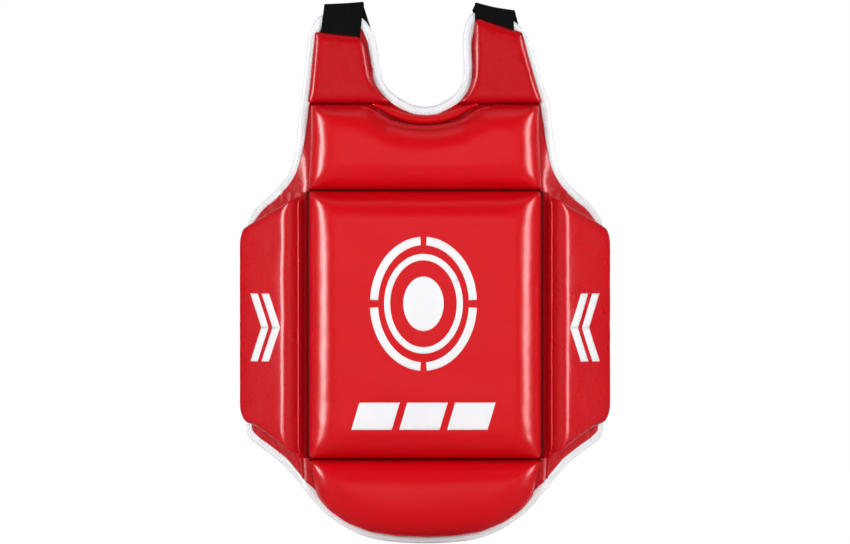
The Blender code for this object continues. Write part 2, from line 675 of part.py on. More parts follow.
# ---------------------------------------------------------------- waist belt
BELT_HINGE_X = HALF + BELT_HINGE_U * math.cos(WING_ANGLE)
BELT_HINGE_Y = Y_FOLD + BELT_HINGE_U * math.sin(WING_ANGLE)
BELT_START = (-0.0006, 0.0010)      # start of the belt from its hinge (x, y)
BELT_PULL = 0.0060          # corner control point, inwards from the start

STUB_X = 0.0850             # buckle centre from the middle
STUB_H = 0.0120             # webbing between belt and socket
SOCKET_RISE = 0.0124        # socket above the foot of that webbing
SOCKET_HALF_T = 0.0050
CAVITY_HALF_T = 0.0031
# socket parts (x, height)
SOCKET_OUTLINE = [(-0.0235, 0.0), (0.0235, 0.0), (0.0235, 0.0100), (0.0215, 0.0130),
                  (0.0215, 0.0180), (0.0240, 0.0220), (0.0240, 0.0340), (-0.0240, 0.0340),
                  (-0.0240, 0.0220), (-0.0215, 0.0180), (-0.0215, 0.0130),
                  (-0.0235, 0.0100)]
SOCKET_SLOT = rect(-0.0200, 0.0030, 0.0200, 0.0066)
SOCKET_CAVITY = rect(-0.0210, 0.0115, 0.0210, 0.0400)       # open at the top
SOCKET_WINDOW = rect(-0.0400, 0.0150, 0.0400, 0.0270)       # open at both sides

# patch on the wing lining (distance from fold, z)
ANCHOR = rect(0.0620, BELT_LO + 0.004, 0.0825, BELT_HI - 0.004)
ANCHOR_T = 0.0009

PATCH_T = 0.0008            # hook and loop patches
PATCH_OFFSET = BELT_T / 2 + GAP + PATCH_T / 2


def belt_path(side, y_mid, tip_x):
    """Plan curve from the wing edge, round the corner, flat across the back."""
    x0, y0 = BELT_HINGE_X + BELT_START[0], BELT_HINGE_Y + BELT_START[1]
    path = []
    for step in range(BELT_CORNER_STEPS + 1):
        t = step / BELT_CORNER_STEPS
        b0, b1, b2 = (1 - t) ** 2, 2 * t * (1 - t), t * t
        x = b0 * x0 + b1 * (x0 - BELT_PULL) + b2 * BELT_CORNER_X
        path.append((side * x, b0 * y0 + b1 * y_mid + b2 * y_mid, BELT_Z))
    return path + [(tip_x, y_mid, BELT_Z)]


def build_socket(tag, origin, pivot):
    """Socket half of the buckle, hollowed from the top and through the sides."""
    mapping = frame_map(origin, X_AXIS, Z_AXIS, Y_AXIS)
    body = prism("buckle_socket_" + tag, [SOCKET_OUTLINE, SOCKET_SLOT], mapping,
                 SOCKET_HALF_T, pivot)
    for name, outline in (("socket_cut_", SOCKET_CAVITY), ("socket_window_", SOCKET_WINDOW)):
        tool = prism(name + tag, [outline], mapping, CAVITY_HALF_T, pivot)
        add_boolean(body, tool, 'DIFFERENCE')


def build_belt(side, tag, y_mid):
    """One half of the belt, with the buckle socket above its top edge."""
    wing_pivot = "wing_%s_pivot" % tag
    pivot = "belt_%s_pivot" % tag
    add_pivot(pivot, (side * BELT_HINGE_X, BELT_HINGE_Y, BELT_Z), wing_pivot)
    band("waist_belt_" + tag, belt_path(side, y_mid, BELT_TIP[tag]), Z_AXIS,
         0.5 * (BELT_HI - BELT_LO), BELT_T, "elastic_black", pivot)
    x, foot = side * STUB_X, BELT_HI + GAP
    band("buckle_stub_" + tag, [(x, y_mid, foot), (x, y_mid, foot + STUB_H)], X_AXIS,
         STRAP_W / 2, STRAP_T, "webbing_black", pivot, smooth=False)
    build_socket(tag, Vector((x, y_mid, foot + SOCKET_RISE)), pivot)
    sheet("belt_anchor_" + tag, [ANCHOR], wing_map(side),
          (LINING_BACK - GAP - ANCHOR_T, LINING_BACK - GAP), "hook_black", wing_pivot)


def build_patch(name, x_ends, y, half_height, pivot):
    """Flat fastening patch at belt height."""
    band(name, [(x, y, BELT_Z) for x in x_ends], Z_AXIS, half_height, PATCH_T,
         "hook_black", pivot, smooth=False)


# ---------------------------------------------------------------- assembly
add_fold_pivots()
build_belly()
build_lower()
build_chest()
for build in (build_shoulder_tab, build_wing, build_strap):
    for side, tag in SIDES:
        build(side, tag)
for (side, tag), y_mid in zip(SIDES, (BELT_Y_OUT, BELT_Y_IN)):
    build_belt(side, tag, y_mid)
# hooks on the front face of the outer half, loops on the rear face of the inner half
build_patch("belt_hook_patch", (-0.0100, -0.0660), BELT_Y_OUT - PATCH_OFFSET, 0.0320,
            "belt_left_pivot")
build_patch("belt_loop_patch", (0.0100, -0.0900), BELT_Y_IN + PATCH_OFFSET, 0.0330,
            "belt_right_pivot")
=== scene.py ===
"""Looks of a padded chest protector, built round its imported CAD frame.

It stands upright: Z is height above the hem, the front faces -Y and +X is the side named left.
A belly panel carries a chest panel above, a lower panel below and a wing hinged at each side;
two shoulder tabs rise from the chest. Straps and a waist belt run behind. Lengths in metres.

Panels are drawn in plan, as (x, z) points, and a place function turns plan points and a depth
into 3D points. Depth is measured forwards from the front face of the backing sheets. On a
wing the plan's x is the distance out from the wing's fold.
"""
import functools
import math
import bpy
import bmesh
import numpy as np
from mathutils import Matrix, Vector
from mathutils.bvhtree import BVHTree


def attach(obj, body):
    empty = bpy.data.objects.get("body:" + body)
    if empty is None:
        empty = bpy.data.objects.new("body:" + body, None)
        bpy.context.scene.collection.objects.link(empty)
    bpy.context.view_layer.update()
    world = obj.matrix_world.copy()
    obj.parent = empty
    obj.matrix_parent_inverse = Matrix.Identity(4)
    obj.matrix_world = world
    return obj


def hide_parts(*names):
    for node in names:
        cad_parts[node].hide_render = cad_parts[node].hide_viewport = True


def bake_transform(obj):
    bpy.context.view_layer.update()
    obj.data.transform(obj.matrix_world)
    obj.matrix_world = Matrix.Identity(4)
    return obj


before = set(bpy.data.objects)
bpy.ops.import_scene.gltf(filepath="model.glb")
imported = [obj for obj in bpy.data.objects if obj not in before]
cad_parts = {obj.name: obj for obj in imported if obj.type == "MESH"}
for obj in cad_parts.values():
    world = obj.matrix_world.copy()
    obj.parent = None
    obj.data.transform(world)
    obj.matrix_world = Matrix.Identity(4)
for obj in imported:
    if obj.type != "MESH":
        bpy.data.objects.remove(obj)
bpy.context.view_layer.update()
scene = bpy.context.scene
SIDES = ((1, "left"), (-1, "right"))

# ---------------------------------------------------------------- dimensions
FRONT_Y = -0.0427               # y at depth 0
HALF = 0.1160                   # half width of the belly panel
FOLD_Y = 0.0056                 # how far the wing's fold axis lies behind depth 0
FLAP_X = 0.1186                 # beyond this x the chest panel turns back as a flap
Z_LOWER, Z_CHEST, Z_TAB = 0.0840, 0.3520, 0.4380    # heights of the three level folds
WING_ANGLE = math.radians(50.0)                     # how far the wings turn back
WING_WIDTH = 0.0920
STRAP_X = 0.0770
EDGE = 0.0014                   # sheets stop this far inside the outline
SEAM_GAP = 0.0003               # panels stop this far from a fold
PAD_HALF = 0.1158               # half width of the belly pad
TAB_LOW = 0.4384                # lowest height of the shoulder tabs

# depths of the layers
SHEET_BACK = -0.0020
LINING_FRONT, LINING_BACK = -0.0023, -0.0043
SEAM_FRONT, SEAM_BACK = -0.0047, -0.0056            # seam tape on the lining


def both_sides(half):
    """Line from -x to +x, given its +x half from the centre out."""
    return [(-x, z) for x, z in half[:0:-1]] + half


# ---------------------------------------------------------------- panel outlines, (x, z)
NECK = [(0.0, 0.4346), (0.0080, 0.4356), (0.0145, 0.4376)]
TAB_IN = [(0.0155, 0.4384), (0.0255, 0.4438), (0.0335, 0.4497), (0.0390, 0.4570),
          (0.0422, 0.4650), (0.0436, 0.4800), (0.0450, 0.5000), (0.0500, 0.5150),
          (0.0560, 0.5235), (0.0640, 0.5280)]
TAB_OUT = [(0.1235, 0.4384), (0.1205, 0.456), (0.1175, 0.474), (0.1150, 0.489),
           (0.1125, 0.504), (0.1080, 0.516), (0.1020, 0.5250), (0.0960, 0.5280)]
ARMHOLE = [(0.1235, 0.4376), (0.1250, 0.428), (0.1268, 0.414), (0.1285, 0.398),
           (0.1305, 0.383), (0.1345, 0.3715), (0.1400, 0.3625), (0.1500, 0.3523)]
WING_TOP = [(0.0480, 0.3512), (0.0630, 0.3440), (0.0780, 0.3345), (0.0870, 0.3265),
            (WING_WIDTH, 0.3160)]
WING_BOTTOM = [(WING_WIDTH, 0.1095), (0.0885, 0.1030), (0.0780, 0.0978), (0.0643, 0.0918),
               (0.0500, 0.0855), (0.0360, 0.0787), (0.0240, 0.0712), (0.0135, 0.0637),
               (0.0010, 0.0543)]
HEM = [(0.0, 0.0), (0.0220, 0.0006), (0.0440, 0.0028), (0.0620, 0.0074), (0.0800, 0.0160),
       (0.0982, 0.0288), (0.1084, 0.0391), (0.1150, 0.0470)]

# ends of the tapes that run on past their panel
HEM_TAPE_END = [(0.1188, 0.0518), (0.1209, 0.0543), (0.1227, 0.0564)]
ARMHOLE_TAPE_END = [(0.1526, 0.3500), (0.1556, 0.3478)]
WING_TAPE_START = [(0.0016, 0.0548)]
# short tapes over the ends of the tab folds
NECK_BRIDGE = [(0.0085, 0.4356), (0.0145, 0.4376), (0.0155, 0.4384), (0.0250, 0.4435)]
ARMHOLE_BRIDGE = [(0.1226, 0.4440), (0.1235, 0.4385), (0.1236, 0.4370), (0.1244, 0.4320)]

# ---------------------------------------------------------------- pad outlines, (x, z)
BELLY = [(-PAD_HALF, Z_LOWER + SEAM_GAP), (PAD_HALF, Z_LOWER + SEAM_GAP),
         (PAD_HALF, Z_CHEST - SEAM_GAP), (-PAD_HALF, Z_CHEST - SEAM_GAP)]
CHEST_HALF = [(0.1158, 0.3523), (0.1150, 0.3900), (0.1140, 0.4374), (0.0700, 0.4376),
              (0.0570, 0.4360), (0.0460, 0.4300), (0.0340, 0.4222), (0.0180, 0.4180),
              (0.0, 0.4165)]
CHEST = [(-0.1158, 0.3523)] + CHEST_HALF + [(-x, z) for x, z in CHEST_HALF[-2:0:-1]]
CHEST_CORNERS = [(-0.1158, 0.3523), (0.1158, 0.3523), (0.1158, 0.4376), (-0.1158, 0.4376)]
LOWER = both_sides([(0.0, 0.0062), (0.0269, 0.0071), (0.0543, 0.0112), (0.0768, 0.0203),
                    (0.0942, 0.0325), (0.1035, 0.0431), (0.1078, 0.0510), (0.1105, 0.0600),
                    (0.1140, 0.0755), (0.1154, 0.0837)])
LOWER_CORNERS = [(-0.1050, 0.0455), (0.1050, 0.0455), (0.1154, 0.0837), (-0.1154, 0.0837)]
WING = [(0.0008, 0.0862), (0.0373, 0.1035), (0.0607, 0.1135), (0.0780, 0.1175),
        (0.0850, 0.1240), (0.0868, 0.1330), (0.0868, 0.3030), (0.0855, 0.3110), (0.0815, 0.3165),
        (0.0692, 0.3215), (0.0401, 0.3320), (0.0112, 0.3420), (0.0008, 0.3490)]
WING_CORNERS = [(0.0008, 0.0862), (0.0868, 0.1240), (0.0868, 0.3110), (0.0008, 0.3490)]
# the left tab's pad is the taller one
TAB_BASE = [(0.0330, 0.4384), (0.1172, 0.4384)]
TAB_SIDE = [(0.1142, 0.4560), (0.1114, 0.4740), (0.1090, 0.4890)]
TABS = {
    "right": TAB_BASE + TAB_SIDE + [
        (0.1074, 0.5000), (0.1058, 0.5105), (0.0640, 0.5058), (0.0592, 0.5030),
        (0.0560, 0.4960), (0.0538, 0.4800), (0.0518, 0.4660), (0.0480, 0.4570),
        (0.0420, 0.4480)],
    "left": TAB_BASE + TAB_SIDE + [
        (0.1078, 0.5020), (0.1062, 0.5150), (0.0640, 0.5208), (0.0596, 0.5190),
        (0.0570, 0.5100), (0.0552, 0.4960), (0.0536, 0.4800), (0.0516, 0.4660),
        (0.0476, 0.4570), (0.0418, 0.4480)],
}
TAB_CORNERS = {"right": TAB_BASE + [(0.1058, 0.5105), (0.0610, 0.5050)],
               "left": TAB_BASE + [(0.1062, 0.5150), (0.0608, 0.5200)]}


# ---------------------------------------------------------------- place functions
def flat(x, z, depth):
    x, z, depth = np.broadcast_arrays(x, z, depth)
    return np.stack([x, FRONT_Y - depth, z], -1)


def wing_place(side):
    cos, sin = math.cos(WING_ANGLE), math.sin(WING_ANGLE)

    def place(out, z, depth):
        out, z, depth = np.broadcast_arrays(out, z, depth)
        behind = -FOLD_Y - depth
        return np.stack([side * (HALF + out * cos - behind * sin),
                         FOLD_Y + out * sin + behind * cos + FRONT_Y, z], -1)
    return place


def flap_angle(z):
    """The flap turns back from nothing at the tabs to the wing's angle at the chest fold."""
    t = np.clip((Z_TAB - z) / (Z_TAB - Z_CHEST), 0, 1)
    return WING_ANGLE * t * t * (3 - 2 * t)


def chest_place(x, z, depth):
    """Flat in the middle, bent back past FLAP_X over a soft 6 mm turn."""
    x, z, depth = np.broadcast_arrays(x, z, depth)
    beyond = np.abs(x) - FLAP_X
    outward = np.where(x >= 0, 1.0, -1.0)
    angle = flap_angle(z)
    t = np.clip((beyond + 0.003) / 0.006, 0, 1)
    turn = angle * (t * t * (3 - 2 * t))
    run = np.where(t < 1, 0.003 * t * t, beyond)
    y = np.maximum(run, 0) * np.tan(angle)
    return np.stack([x + outward * depth * np.sin(turn), y - depth * np.cos(turn) + FRONT_Y, z],
                    -1)


def tab_place(side):
    """The left tab leans in and its top slopes; the right tab leans out a little."""
    lean, tilt = (-0.0095, 0.20) if side > 0 else (0.0045, 0.0)

    def place(x, z, depth):
        up = np.clip((z - TAB_LOW) / 0.080, 0, 1.15)
        return flat(x + side * lean * up, z + tilt * up * up * (STRAP_X - np.abs(x)), depth)
    return place


# ---------------------------------------------------------------- curve helpers
def unit(vectors):
    return vectors / np.linalg.norm(vectors, axis=-1, keepdims=True)


def arc_lengths(points):
    return np.concatenate([[0], np.cumsum(np.linalg.norm(np.diff(points, axis=0), axis=1))])


def interp_rows(at, along, rows):
    return np.stack([np.interp(at, along, column) for column in rows.T], -1)


def resample(points, count):
    points = np.asarray(points, float)
    along = arc_lengths(points)
    return interp_rows(np.linspace(0, along[-1], count), along, points)


def soften(points, passes=1):
    """Average neighbours along the first axis, in place; the two ends stay."""
    for _ in range(passes):
        points[1:-1] = 0.25 * points[:-2] + 0.5 * points[1:-1] + 0.25 * points[2:]


def smooth_line(points, count, passes):
    """Evenly spaced points along a polyline with its kinks softened."""
    points = resample(points, count)
    soften(points, passes)
    return resample(points, count)


def line_normals(points):
    """Normals to the left of travel of an open plan line."""
    tangent = unit(np.gradient(points, axis=0))
    return np.stack([-tangent[:, 1], tangent[:, 0]], -1)


def profile(points, at, by=0):
    """Look up an outline: z at a given x, or x at a given z when by is 1."""
    table = np.array(sorted(points, key=lambda point: point[by]))
    return np.interp(at, table[:, by], table[:, 1 - by])


def mirrored(points, side):
    """An outline on one side, run so that the panel lies left of travel."""
    line = [(side * x, z) for x, z in points]
    return line if side < 0 else line[::-1]


def round_corners(outline, radius, steps=10):
    """Closed outline with its corners rounded; nearly straight points stay."""
    out = []
    for i, point in enumerate(outline):
        point = np.array(point)
        to_last = unit(np.array(outline[i - 1]) - point)
        to_next = unit(np.array(outline[(i + 1) % len(outline)]) - point)
        cosine = float(np.clip(to_last @ to_next, -1, 1))
        if cosine < -0.80:
            out.append(point)
            continue
        inner = math.acos(cosine)
        centre = point + unit(to_last + to_next) * radius / math.sin(inner / 2)
        x, z = point + to_last * radius / math.tan(inner / 2) - centre
        cross = to_last[0] * to_next[1] - to_last[1] * to_next[0]
        sweep = (math.pi - inner) * (-1 if cross > 0 else 1)
        for k in range(steps + 1):
            t = sweep * k / steps
            out.append(centre + np.array([x * math.cos(t) - z * math.sin(t),
                                          x * math.sin(t) + z * math.cos(t)]))
    return np.array(out)


def ripple(count, seed):
    """Smooth random wave over 0..1, of 9 sines with 8 to 30 whole periods."""
    t = np.linspace(0, 1, count)
    rng = np.random.RandomState(seed)
    out = np.zeros(count)
    for _ in range(9):
        periods = rng.randint(8, 31)
        out += rng.uniform(0.5, 1.0) * np.sin(2 * math.pi * periods * t + rng.uniform(0, 6.283))
    return out / math.sqrt(9)


def wobble(x, z, seed, scale):
    """Smooth random field of 7 sines with features about scale long."""
    rng = np.random.RandomState(seed)
    out = np.zeros(x.shape)
    for _ in range(7):
        angle = rng.uniform(0, 6.283)
        k = 2 * math.pi / scale * rng.uniform(0.6, 1.5)
        out += np.sin(k * (x * math.cos(angle) + z * math.sin(angle)) + rng.uniform(0, 6.283))
    return out / math.sqrt(7)


def side_frames(path, up, closed=False):
    """Two vectors square to a 3D path; the first lies nearest to up."""
    if closed:
        tangent = unit(np.roll(path, -1, 0) - np.roll(path, 1, 0))
    else:
        tangent = unit(np.gradient(path, axis=0))
    up = np.broadcast_to(np.asarray(up, float), path.shape)
    first = unit(up - (up * tangent).sum(1)[:, None] * tangent)
    return first, np.cross(tangent, first)


# ---------------------------------------------------------------- mesh helpers
def outward_mesh(name, verts, faces):
    mesh = bpy.data.meshes.new(name)
    mesh.from_pydata([tuple(map(float, v)) for v in verts], [], faces)
    mesh.validate()
    bm = bmesh.new()
    bm.from_mesh(mesh)
    bmesh.ops.recalc_face_normals(bm, faces=bm.faces)
    bm.to_mesh(mesh)
    bm.free()
    return mesh


def make(name, verts, faces, mat, slot, body=None, blend=None, replaced=(), shade=None,
         sharp=None):
    """It rides one body or blends between two (body, body, start, end) and stands in for the
    replaced CAD nodes. shade fills the point attribute "edge", the share of painted seam shade;
    sharp is an angle in degrees.
    """
    mesh = outward_mesh(name, verts, faces)
    mesh.shade_smooth()
    ob = bpy.data.objects.new(name, mesh)
    scene.collection.objects.link(ob)
    mesh.materials.append(mat)
    if shade is not None:
        values = mesh.attributes.new("edge", "FLOAT", "POINT").data
        values.foreach_set("value", np.asarray(shade, np.float32))
    if sharp:
        mesh.set_sharp_from_angle(angle=math.radians(sharp))
    if body:
        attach(ob, body)
    if blend:
        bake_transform(ob)
    if replaced:
        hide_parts(*replaced)


def grid_cells(rows, cols):
    return [(i * cols + j, (i + 1) * cols + j, (i + 1) * cols + j + 1, i * cols + j + 1)
            for i in range(rows - 1) for j in range(cols - 1)]


class Shells:
    """Collects closed shells into one mesh."""

    def __init__(self):
        self.verts, self.faces = [], []

    def add(self, verts, faces):
        start = len(self.verts)
        self.verts += [tuple(point) for point in verts]
        self.faces += [tuple(i + start for i in face) for face in faces]

    def tube(self, rings, closed=False):
        """rings: (rings, points, 3) along a path; open ends are capped."""
        n, m = rings.shape[:2]
        faces = []
        for i in range(n if closed else n - 1):
            nxt = (i + 1) % n
            for j in range(m):
                k = (j + 1) % m
                faces.append((i * m + j, nxt * m + j, nxt * m + k, i * m + k))
        if not closed:
            faces.append(tuple(range(m))[::-1])
            faces.append(tuple((n - 1) * m + j for j in range(m)))
        self.add(rings.reshape(-1, 3), faces)

    def sheet(self, front, back):
        """Thin sheet between a front grid and a back grid of points."""
        rows, cols = front.shape[:2]
        behind = rows * cols
        faces = []
        for cell in grid_cells(rows, cols):
            faces.append(cell)
            faces.append(tuple(behind + i for i in cell[::-1]))
        index = np.arange(behind).reshape(rows, cols)
        rim = np.concatenate([index[0], index[1:, -1], index[-1, -2::-1],
                              index[-2:0:-1, 0]]).tolist()
        for i, j in zip(rim, rim[1:] + rim[:1]):
            faces.append((i, j, behind + j, behind + i))
        self.add(np.concatenate([front.reshape(-1, 3), back.reshape(-1, 3)]), faces)

    def make(self, name, mat, slot, **options):
        make(name, self.verts, self.faces, mat, slot, **options)


def slab(name, front, back, mat, slot, column_shades=None, **options):
    """One thin sheet; column_shades gives the edge attribute of each grid column."""
    shells = Shells()
    shells.sheet(front, back)
    if column_shades is not None:
        options["shade"] = np.tile(column_shades, 2 * len(front))
    shells.make(name, mat, slot, sharp=50, **options)


STITCH_PITCH, STITCH_LENGTH, STITCH_RADIUS = 0.0042, 0.0030, 0.00028


def stitches(shells, path, normal):
    """Thread dashes along a path, each a small closed capsule bowed off the surface."""
    along = arc_lengths(path)
    count = int(along[-1] / STITCH_PITCH)
    start = 0.5 * (along[-1] - count * STITCH_PITCH) + 0.5 * (STITCH_PITCH - STITCH_LENGTH)
    lift = 0.0001 + 0.00016 * np.sin(np.linspace(0, math.pi, 5))
    radius = (STITCH_RADIUS * np.array([0.45, 0.95, 1.0, 0.95, 0.45]))[:, None, None]
    around = np.linspace(0, 2 * math.pi, 6, endpoint=False)[None, :, None]
    for k in range(count):
        at = start + k * STITCH_PITCH + STITCH_LENGTH * np.linspace(0, 1, 5)
        out = unit(interp_rows(at, along, normal))
        points = interp_rows(at, along, path) + out * lift[:, None]
        across = np.cross(unit(np.gradient(points, axis=0)), out)
        shells.tube(points[:, None] + radius * (np.cos(around) * across[:, None]
                                                + 0.8 * np.sin(around) * out[:, None]))


# ---------------------------------------------------------------- materials
def scaled(colour, factor):
    return tuple(min(1, c * factor) for c in colour)


class Shader:
    """A material under construction; textures use object coordinates."""

    def __init__(self, name):
        self.material = bpy.data.materials.new(name)
        self.material.use_nodes = True
        self.tree = self.material.node_tree
        self.bsdf = self.tree.nodes["Principled BSDF"]
        self.coords = self.node("ShaderNodeTexCoord").outputs["Object"]

    def node(self, kind, **props):
        node = self.tree.nodes.new(kind)
        for key, value in props.items():
            setattr(node, key, value)
        return node

    def link(self, source, target):
        self.tree.links.new(source, target)

    def texture(self, kind, vector=None, values=(), output="Fac", **props):
        node = self.node(kind, **props)
        for key, value in dict(values).items():
            node.inputs[key].default_value = value
        self.link(vector or self.coords, node.inputs["Vector"])
        return node.outputs[output]

    def mapped(self, scale):
        return self.texture("ShaderNodeMapping", values={"Scale": scale}, output="Vector")

    def noise(self, scale, detail=3.0, roughness=0.55, vector=None):
        return self.texture("ShaderNodeTexNoise", vector,
                            {"Scale": scale, "Detail": detail, "Roughness": roughness})

    def voronoi(self, scale, feature="F1"):
        return self.texture("ShaderNodeTexVoronoi", values={"Scale": scale}, output="Distance",
                            feature=feature)

    def product(self, a, b):
        node = self.node("ShaderNodeMath", operation="MULTIPLY")
        self.link(a, node.inputs[0])
        if isinstance(b, float):
            node.inputs[1].default_value = b
        else:
            self.link(b, node.inputs[1])
        return node.outputs[0]

    def mix(self, fac, a, b, share=None):
        """Colour a turning to b with fac, or with a share of fac."""
        if share is not None:
            fac = self.product(fac, share)
        node = self.node("ShaderNodeMix", data_type="RGBA")
        self.link(fac, node.inputs[0])
        for socket, colour in ((node.inputs[6], a), (node.inputs[7], b)):
            if isinstance(colour, tuple):
                socket.default_value = (*colour, 1)
            else:
                self.link(colour, socket)
        return node.outputs[2]

    def colour(self, socket):
        self.link(socket, self.bsdf.inputs["Base Color"])

    def roughness(self, fac, low, high):
        node = self.node("ShaderNodeMapRange")
        node.inputs["To Min"].default_value = low
        node.inputs["To Max"].default_value = high
        self.link(fac, node.inputs["Value"])
        self.link(node.outputs["Result"], self.bsdf.inputs["Roughness"])

    def bump(self, *layers):
        """Stacked bumps, each (height, strength, distance)."""
        last = None
        for height, strength, distance in layers:
            node = self.node("ShaderNodeBump")
            node.inputs["Strength"].default_value = strength
            node.inputs["Distance"].default_value = distance
            self.link(height, node.inputs["Height"])
            if last is not None:
                self.link(last, node.inputs["Normal"])
            last = node.outputs["Normal"]
        self.link(last, self.bsdf.inputs["Normal"])

    def surface(self, **values):
        for key, value in values.items():
            self.bsdf.inputs[key.replace("_", " ")].default_value = value


def leather(name, base, rim=None, rough=(0.26, 0.33), grain=0.05, crease=0.09, specular=0.30):
    """Grained leather; rim is the colour where the edge attribute is 1, if it is used: painted
    shade at the seams.
    """
    s = Shader(name)
    broad = s.noise(scale=16)
    fine = s.noise(scale=130, detail=4, roughness=0.6)
    colour = s.mix(broad, base, scaled(base, 0.80), share=0.55)
    colour = s.mix(fine, colour, scaled(base, 1.25), share=0.22)
    if rim:
        edge = s.node("ShaderNodeAttribute", attribute_name="edge").outputs["Fac"]
        colour = s.mix(edge, colour, rim)
    s.colour(colour)
    s.roughness(s.noise(scale=40), *rough)
    pores = s.voronoi(scale=1150)
    cells = s.voronoi(scale=620, feature="DISTANCE_TO_EDGE")
    wrinkles = s.noise(scale=150, detail=4)
    creases = s.noise(scale=1.0, detail=4, roughness=0.6, vector=s.mapped((26, 26, 60)))
    s.bump((creases, crease, 0.004), (wrinkles, 0.07, 0.0016), (cells, grain * 1.6, 0.0006),
           (pores, grain, 0.0005))
    s.surface(Specular_IOR_Level=specular, Coat_Weight=0.25 * specular, Coat_Roughness=0.20)
    return s.material


def cloth(name, base, light, pitch, rough=(0.75, 0.9), sheen=0.3, weave_bump=0.5,
          warp="X", specular=0.12):
    """Woven cloth: two crossed waves and a little fuzz."""
    s = Shader(name)
    vector = s.mapped((1, 1, 1))
    wave = {"Scale": math.pi / (20.0 * pitch), "Distortion": 0.25, "Detail": 1.0}
    threads = [s.texture("ShaderNodeTexWave", vector, wave, bands_direction=direction)
               for direction in (warp, "Z")]
    weave = s.product(*threads)
    fuzz = s.noise(scale=420, detail=4, roughness=0.7)
    broad = s.noise(scale=22)
    colour = s.mix(weave, base, light, share=0.75)
    s.colour(s.mix(broad, colour, scaled(base, 0.6), share=0.35))
    s.roughness(fuzz, *rough)
    s.surface(Sheen_Weight=sheen, Specular_IOR_Level=specular, Sheen_Roughness=0.5)
    s.bump((broad, 0.15, 0.003), (weave, weave_bump, 0.0004), (fuzz, 0.25, 0.0003))
    return s.material


def plastic(name, base):
    s = Shader(name)
    s.colour(s.mix(s.noise(scale=60), base, scaled(base, 2.2), share=0.5))
    s.roughness(s.noise(scale=300, detail=4), low=0.34, high=0.52)
    s.bump((s.noise(scale=900), 0.08, 0.0003), (s.noise(scale=90, detail=2), 0.05, 0.001))
    return s.material


DEEP = (0.10, 0.0, 0.001)       # red in the shade of a seam
# the rim colours of these leathers paint shade where the edge attribute is set
LEATHER = leather("leather_red", base=(0.640, 0.0012, 0.0062), rim=DEEP)
# a slightly darker, paler copy of the pads' leather: painted shade and sheen on the turned-back
# wings
WING_LEATHER = leather("leather_red_wing", base=(0.615, 0.0030, 0.0095), rim=DEEP,
                       rough=(0.24, 0.32))
BACKING = leather("backing_red", base=(0.50, 0.0012, 0.0055), rim=DEEP, rough=(0.28, 0.38),
                  crease=0.3)
# dark leather for the groove strips: painted shade in the grooves between panels
GROOVE = leather("groove_painted_shade", base=(0.16, 0.0002, 0.0012), rough=(0.6, 0.7), specular=0.03)
# a darker copy of the pads' leather: painted shade for the tabs, which read darker in the light
TAB_LEATHER = leather("leather_red_tab_painted_shade", base=(0.505, 0.0008, 0.0055), rim=DEEP,
                      rough=(0.24, 0.31), specular=0.22)
# fold strips: darker than the pads, and darker still at the rim, as painted shade in the folds
FOLD = leather("fold_red_painted_shade", base=(0.52, 0.0008, 0.0045), rim=(0.075, 0.0, 0.0006),
               rough=(0.4, 0.5), specular=0.03)
# paler than the pads' leather: painted highlight along the raised seams
PIPING = leather("piping_red", base=(0.66, 0.012, 0.020), rough=(0.28, 0.36))
BINDING = leather("binding_white", base=(0.86, 0.88, 0.91), rough=(0.34, 0.48), grain=0.06,
                  crease=0.3)
PRINT = leather("print_white", base=(0.90, 0.90, 0.92), rough=(0.38, 0.5), grain=0.06,
                crease=0.2)
THREAD = cloth("thread_white", base=(0.62, 0.63, 0.66), light=(0.9, 0.9, 0.92), pitch=0.0008)
WEBBING = cloth("webbing_black", base=(0.0030, 0.0028, 0.0030), light=(0.011, 0.010, 0.011),
                pitch=0.0014, sheen=0.02, specular=0.03)
LINING = cloth("lining_black", base=(0.012, 0.012, 0.014), light=(0.035, 0.035, 0.038),
               pitch=0.0022, sheen=0.25, weave_bump=0.6, warp="DIAGONAL")
ELASTIC = cloth("elastic_black", base=(0.014, 0.014, 0.016), light=(0.05, 0.05, 0.055),
                pitch=0.0020, weave_bump=0.8)
HOOK = cloth("hook_black", base=(0.016, 0.016, 0.018), light=(0.05, 0.05, 0.05), pitch=0.0012,
             rough=(0.9, 1.0), weave_bump=0.9)
PLASTIC = plastic("plastic_black", base=(0.018, 0.018, 0.02))


def repaint(nodes, mat):
    """Give CAD nodes that stay visible their material."""
    for name in nodes:
        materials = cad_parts[name].data.materials
        materials.clear()
        materials.append(mat)


# ---------------------------------------------------------------- pads
PADS = {}       # name: (place function, vertex grid, points)


def border(grid, k):
    """Vertex numbers of the k-th closed line in from a grid's border."""
    g = grid[k:grid.shape[0] - k, k:grid.shape[1] - k]
    return np.concatenate([g[:-1, 0], g[-1, :-1], g[:0:-1, -1], g[0, :0:-1]]).tolist()


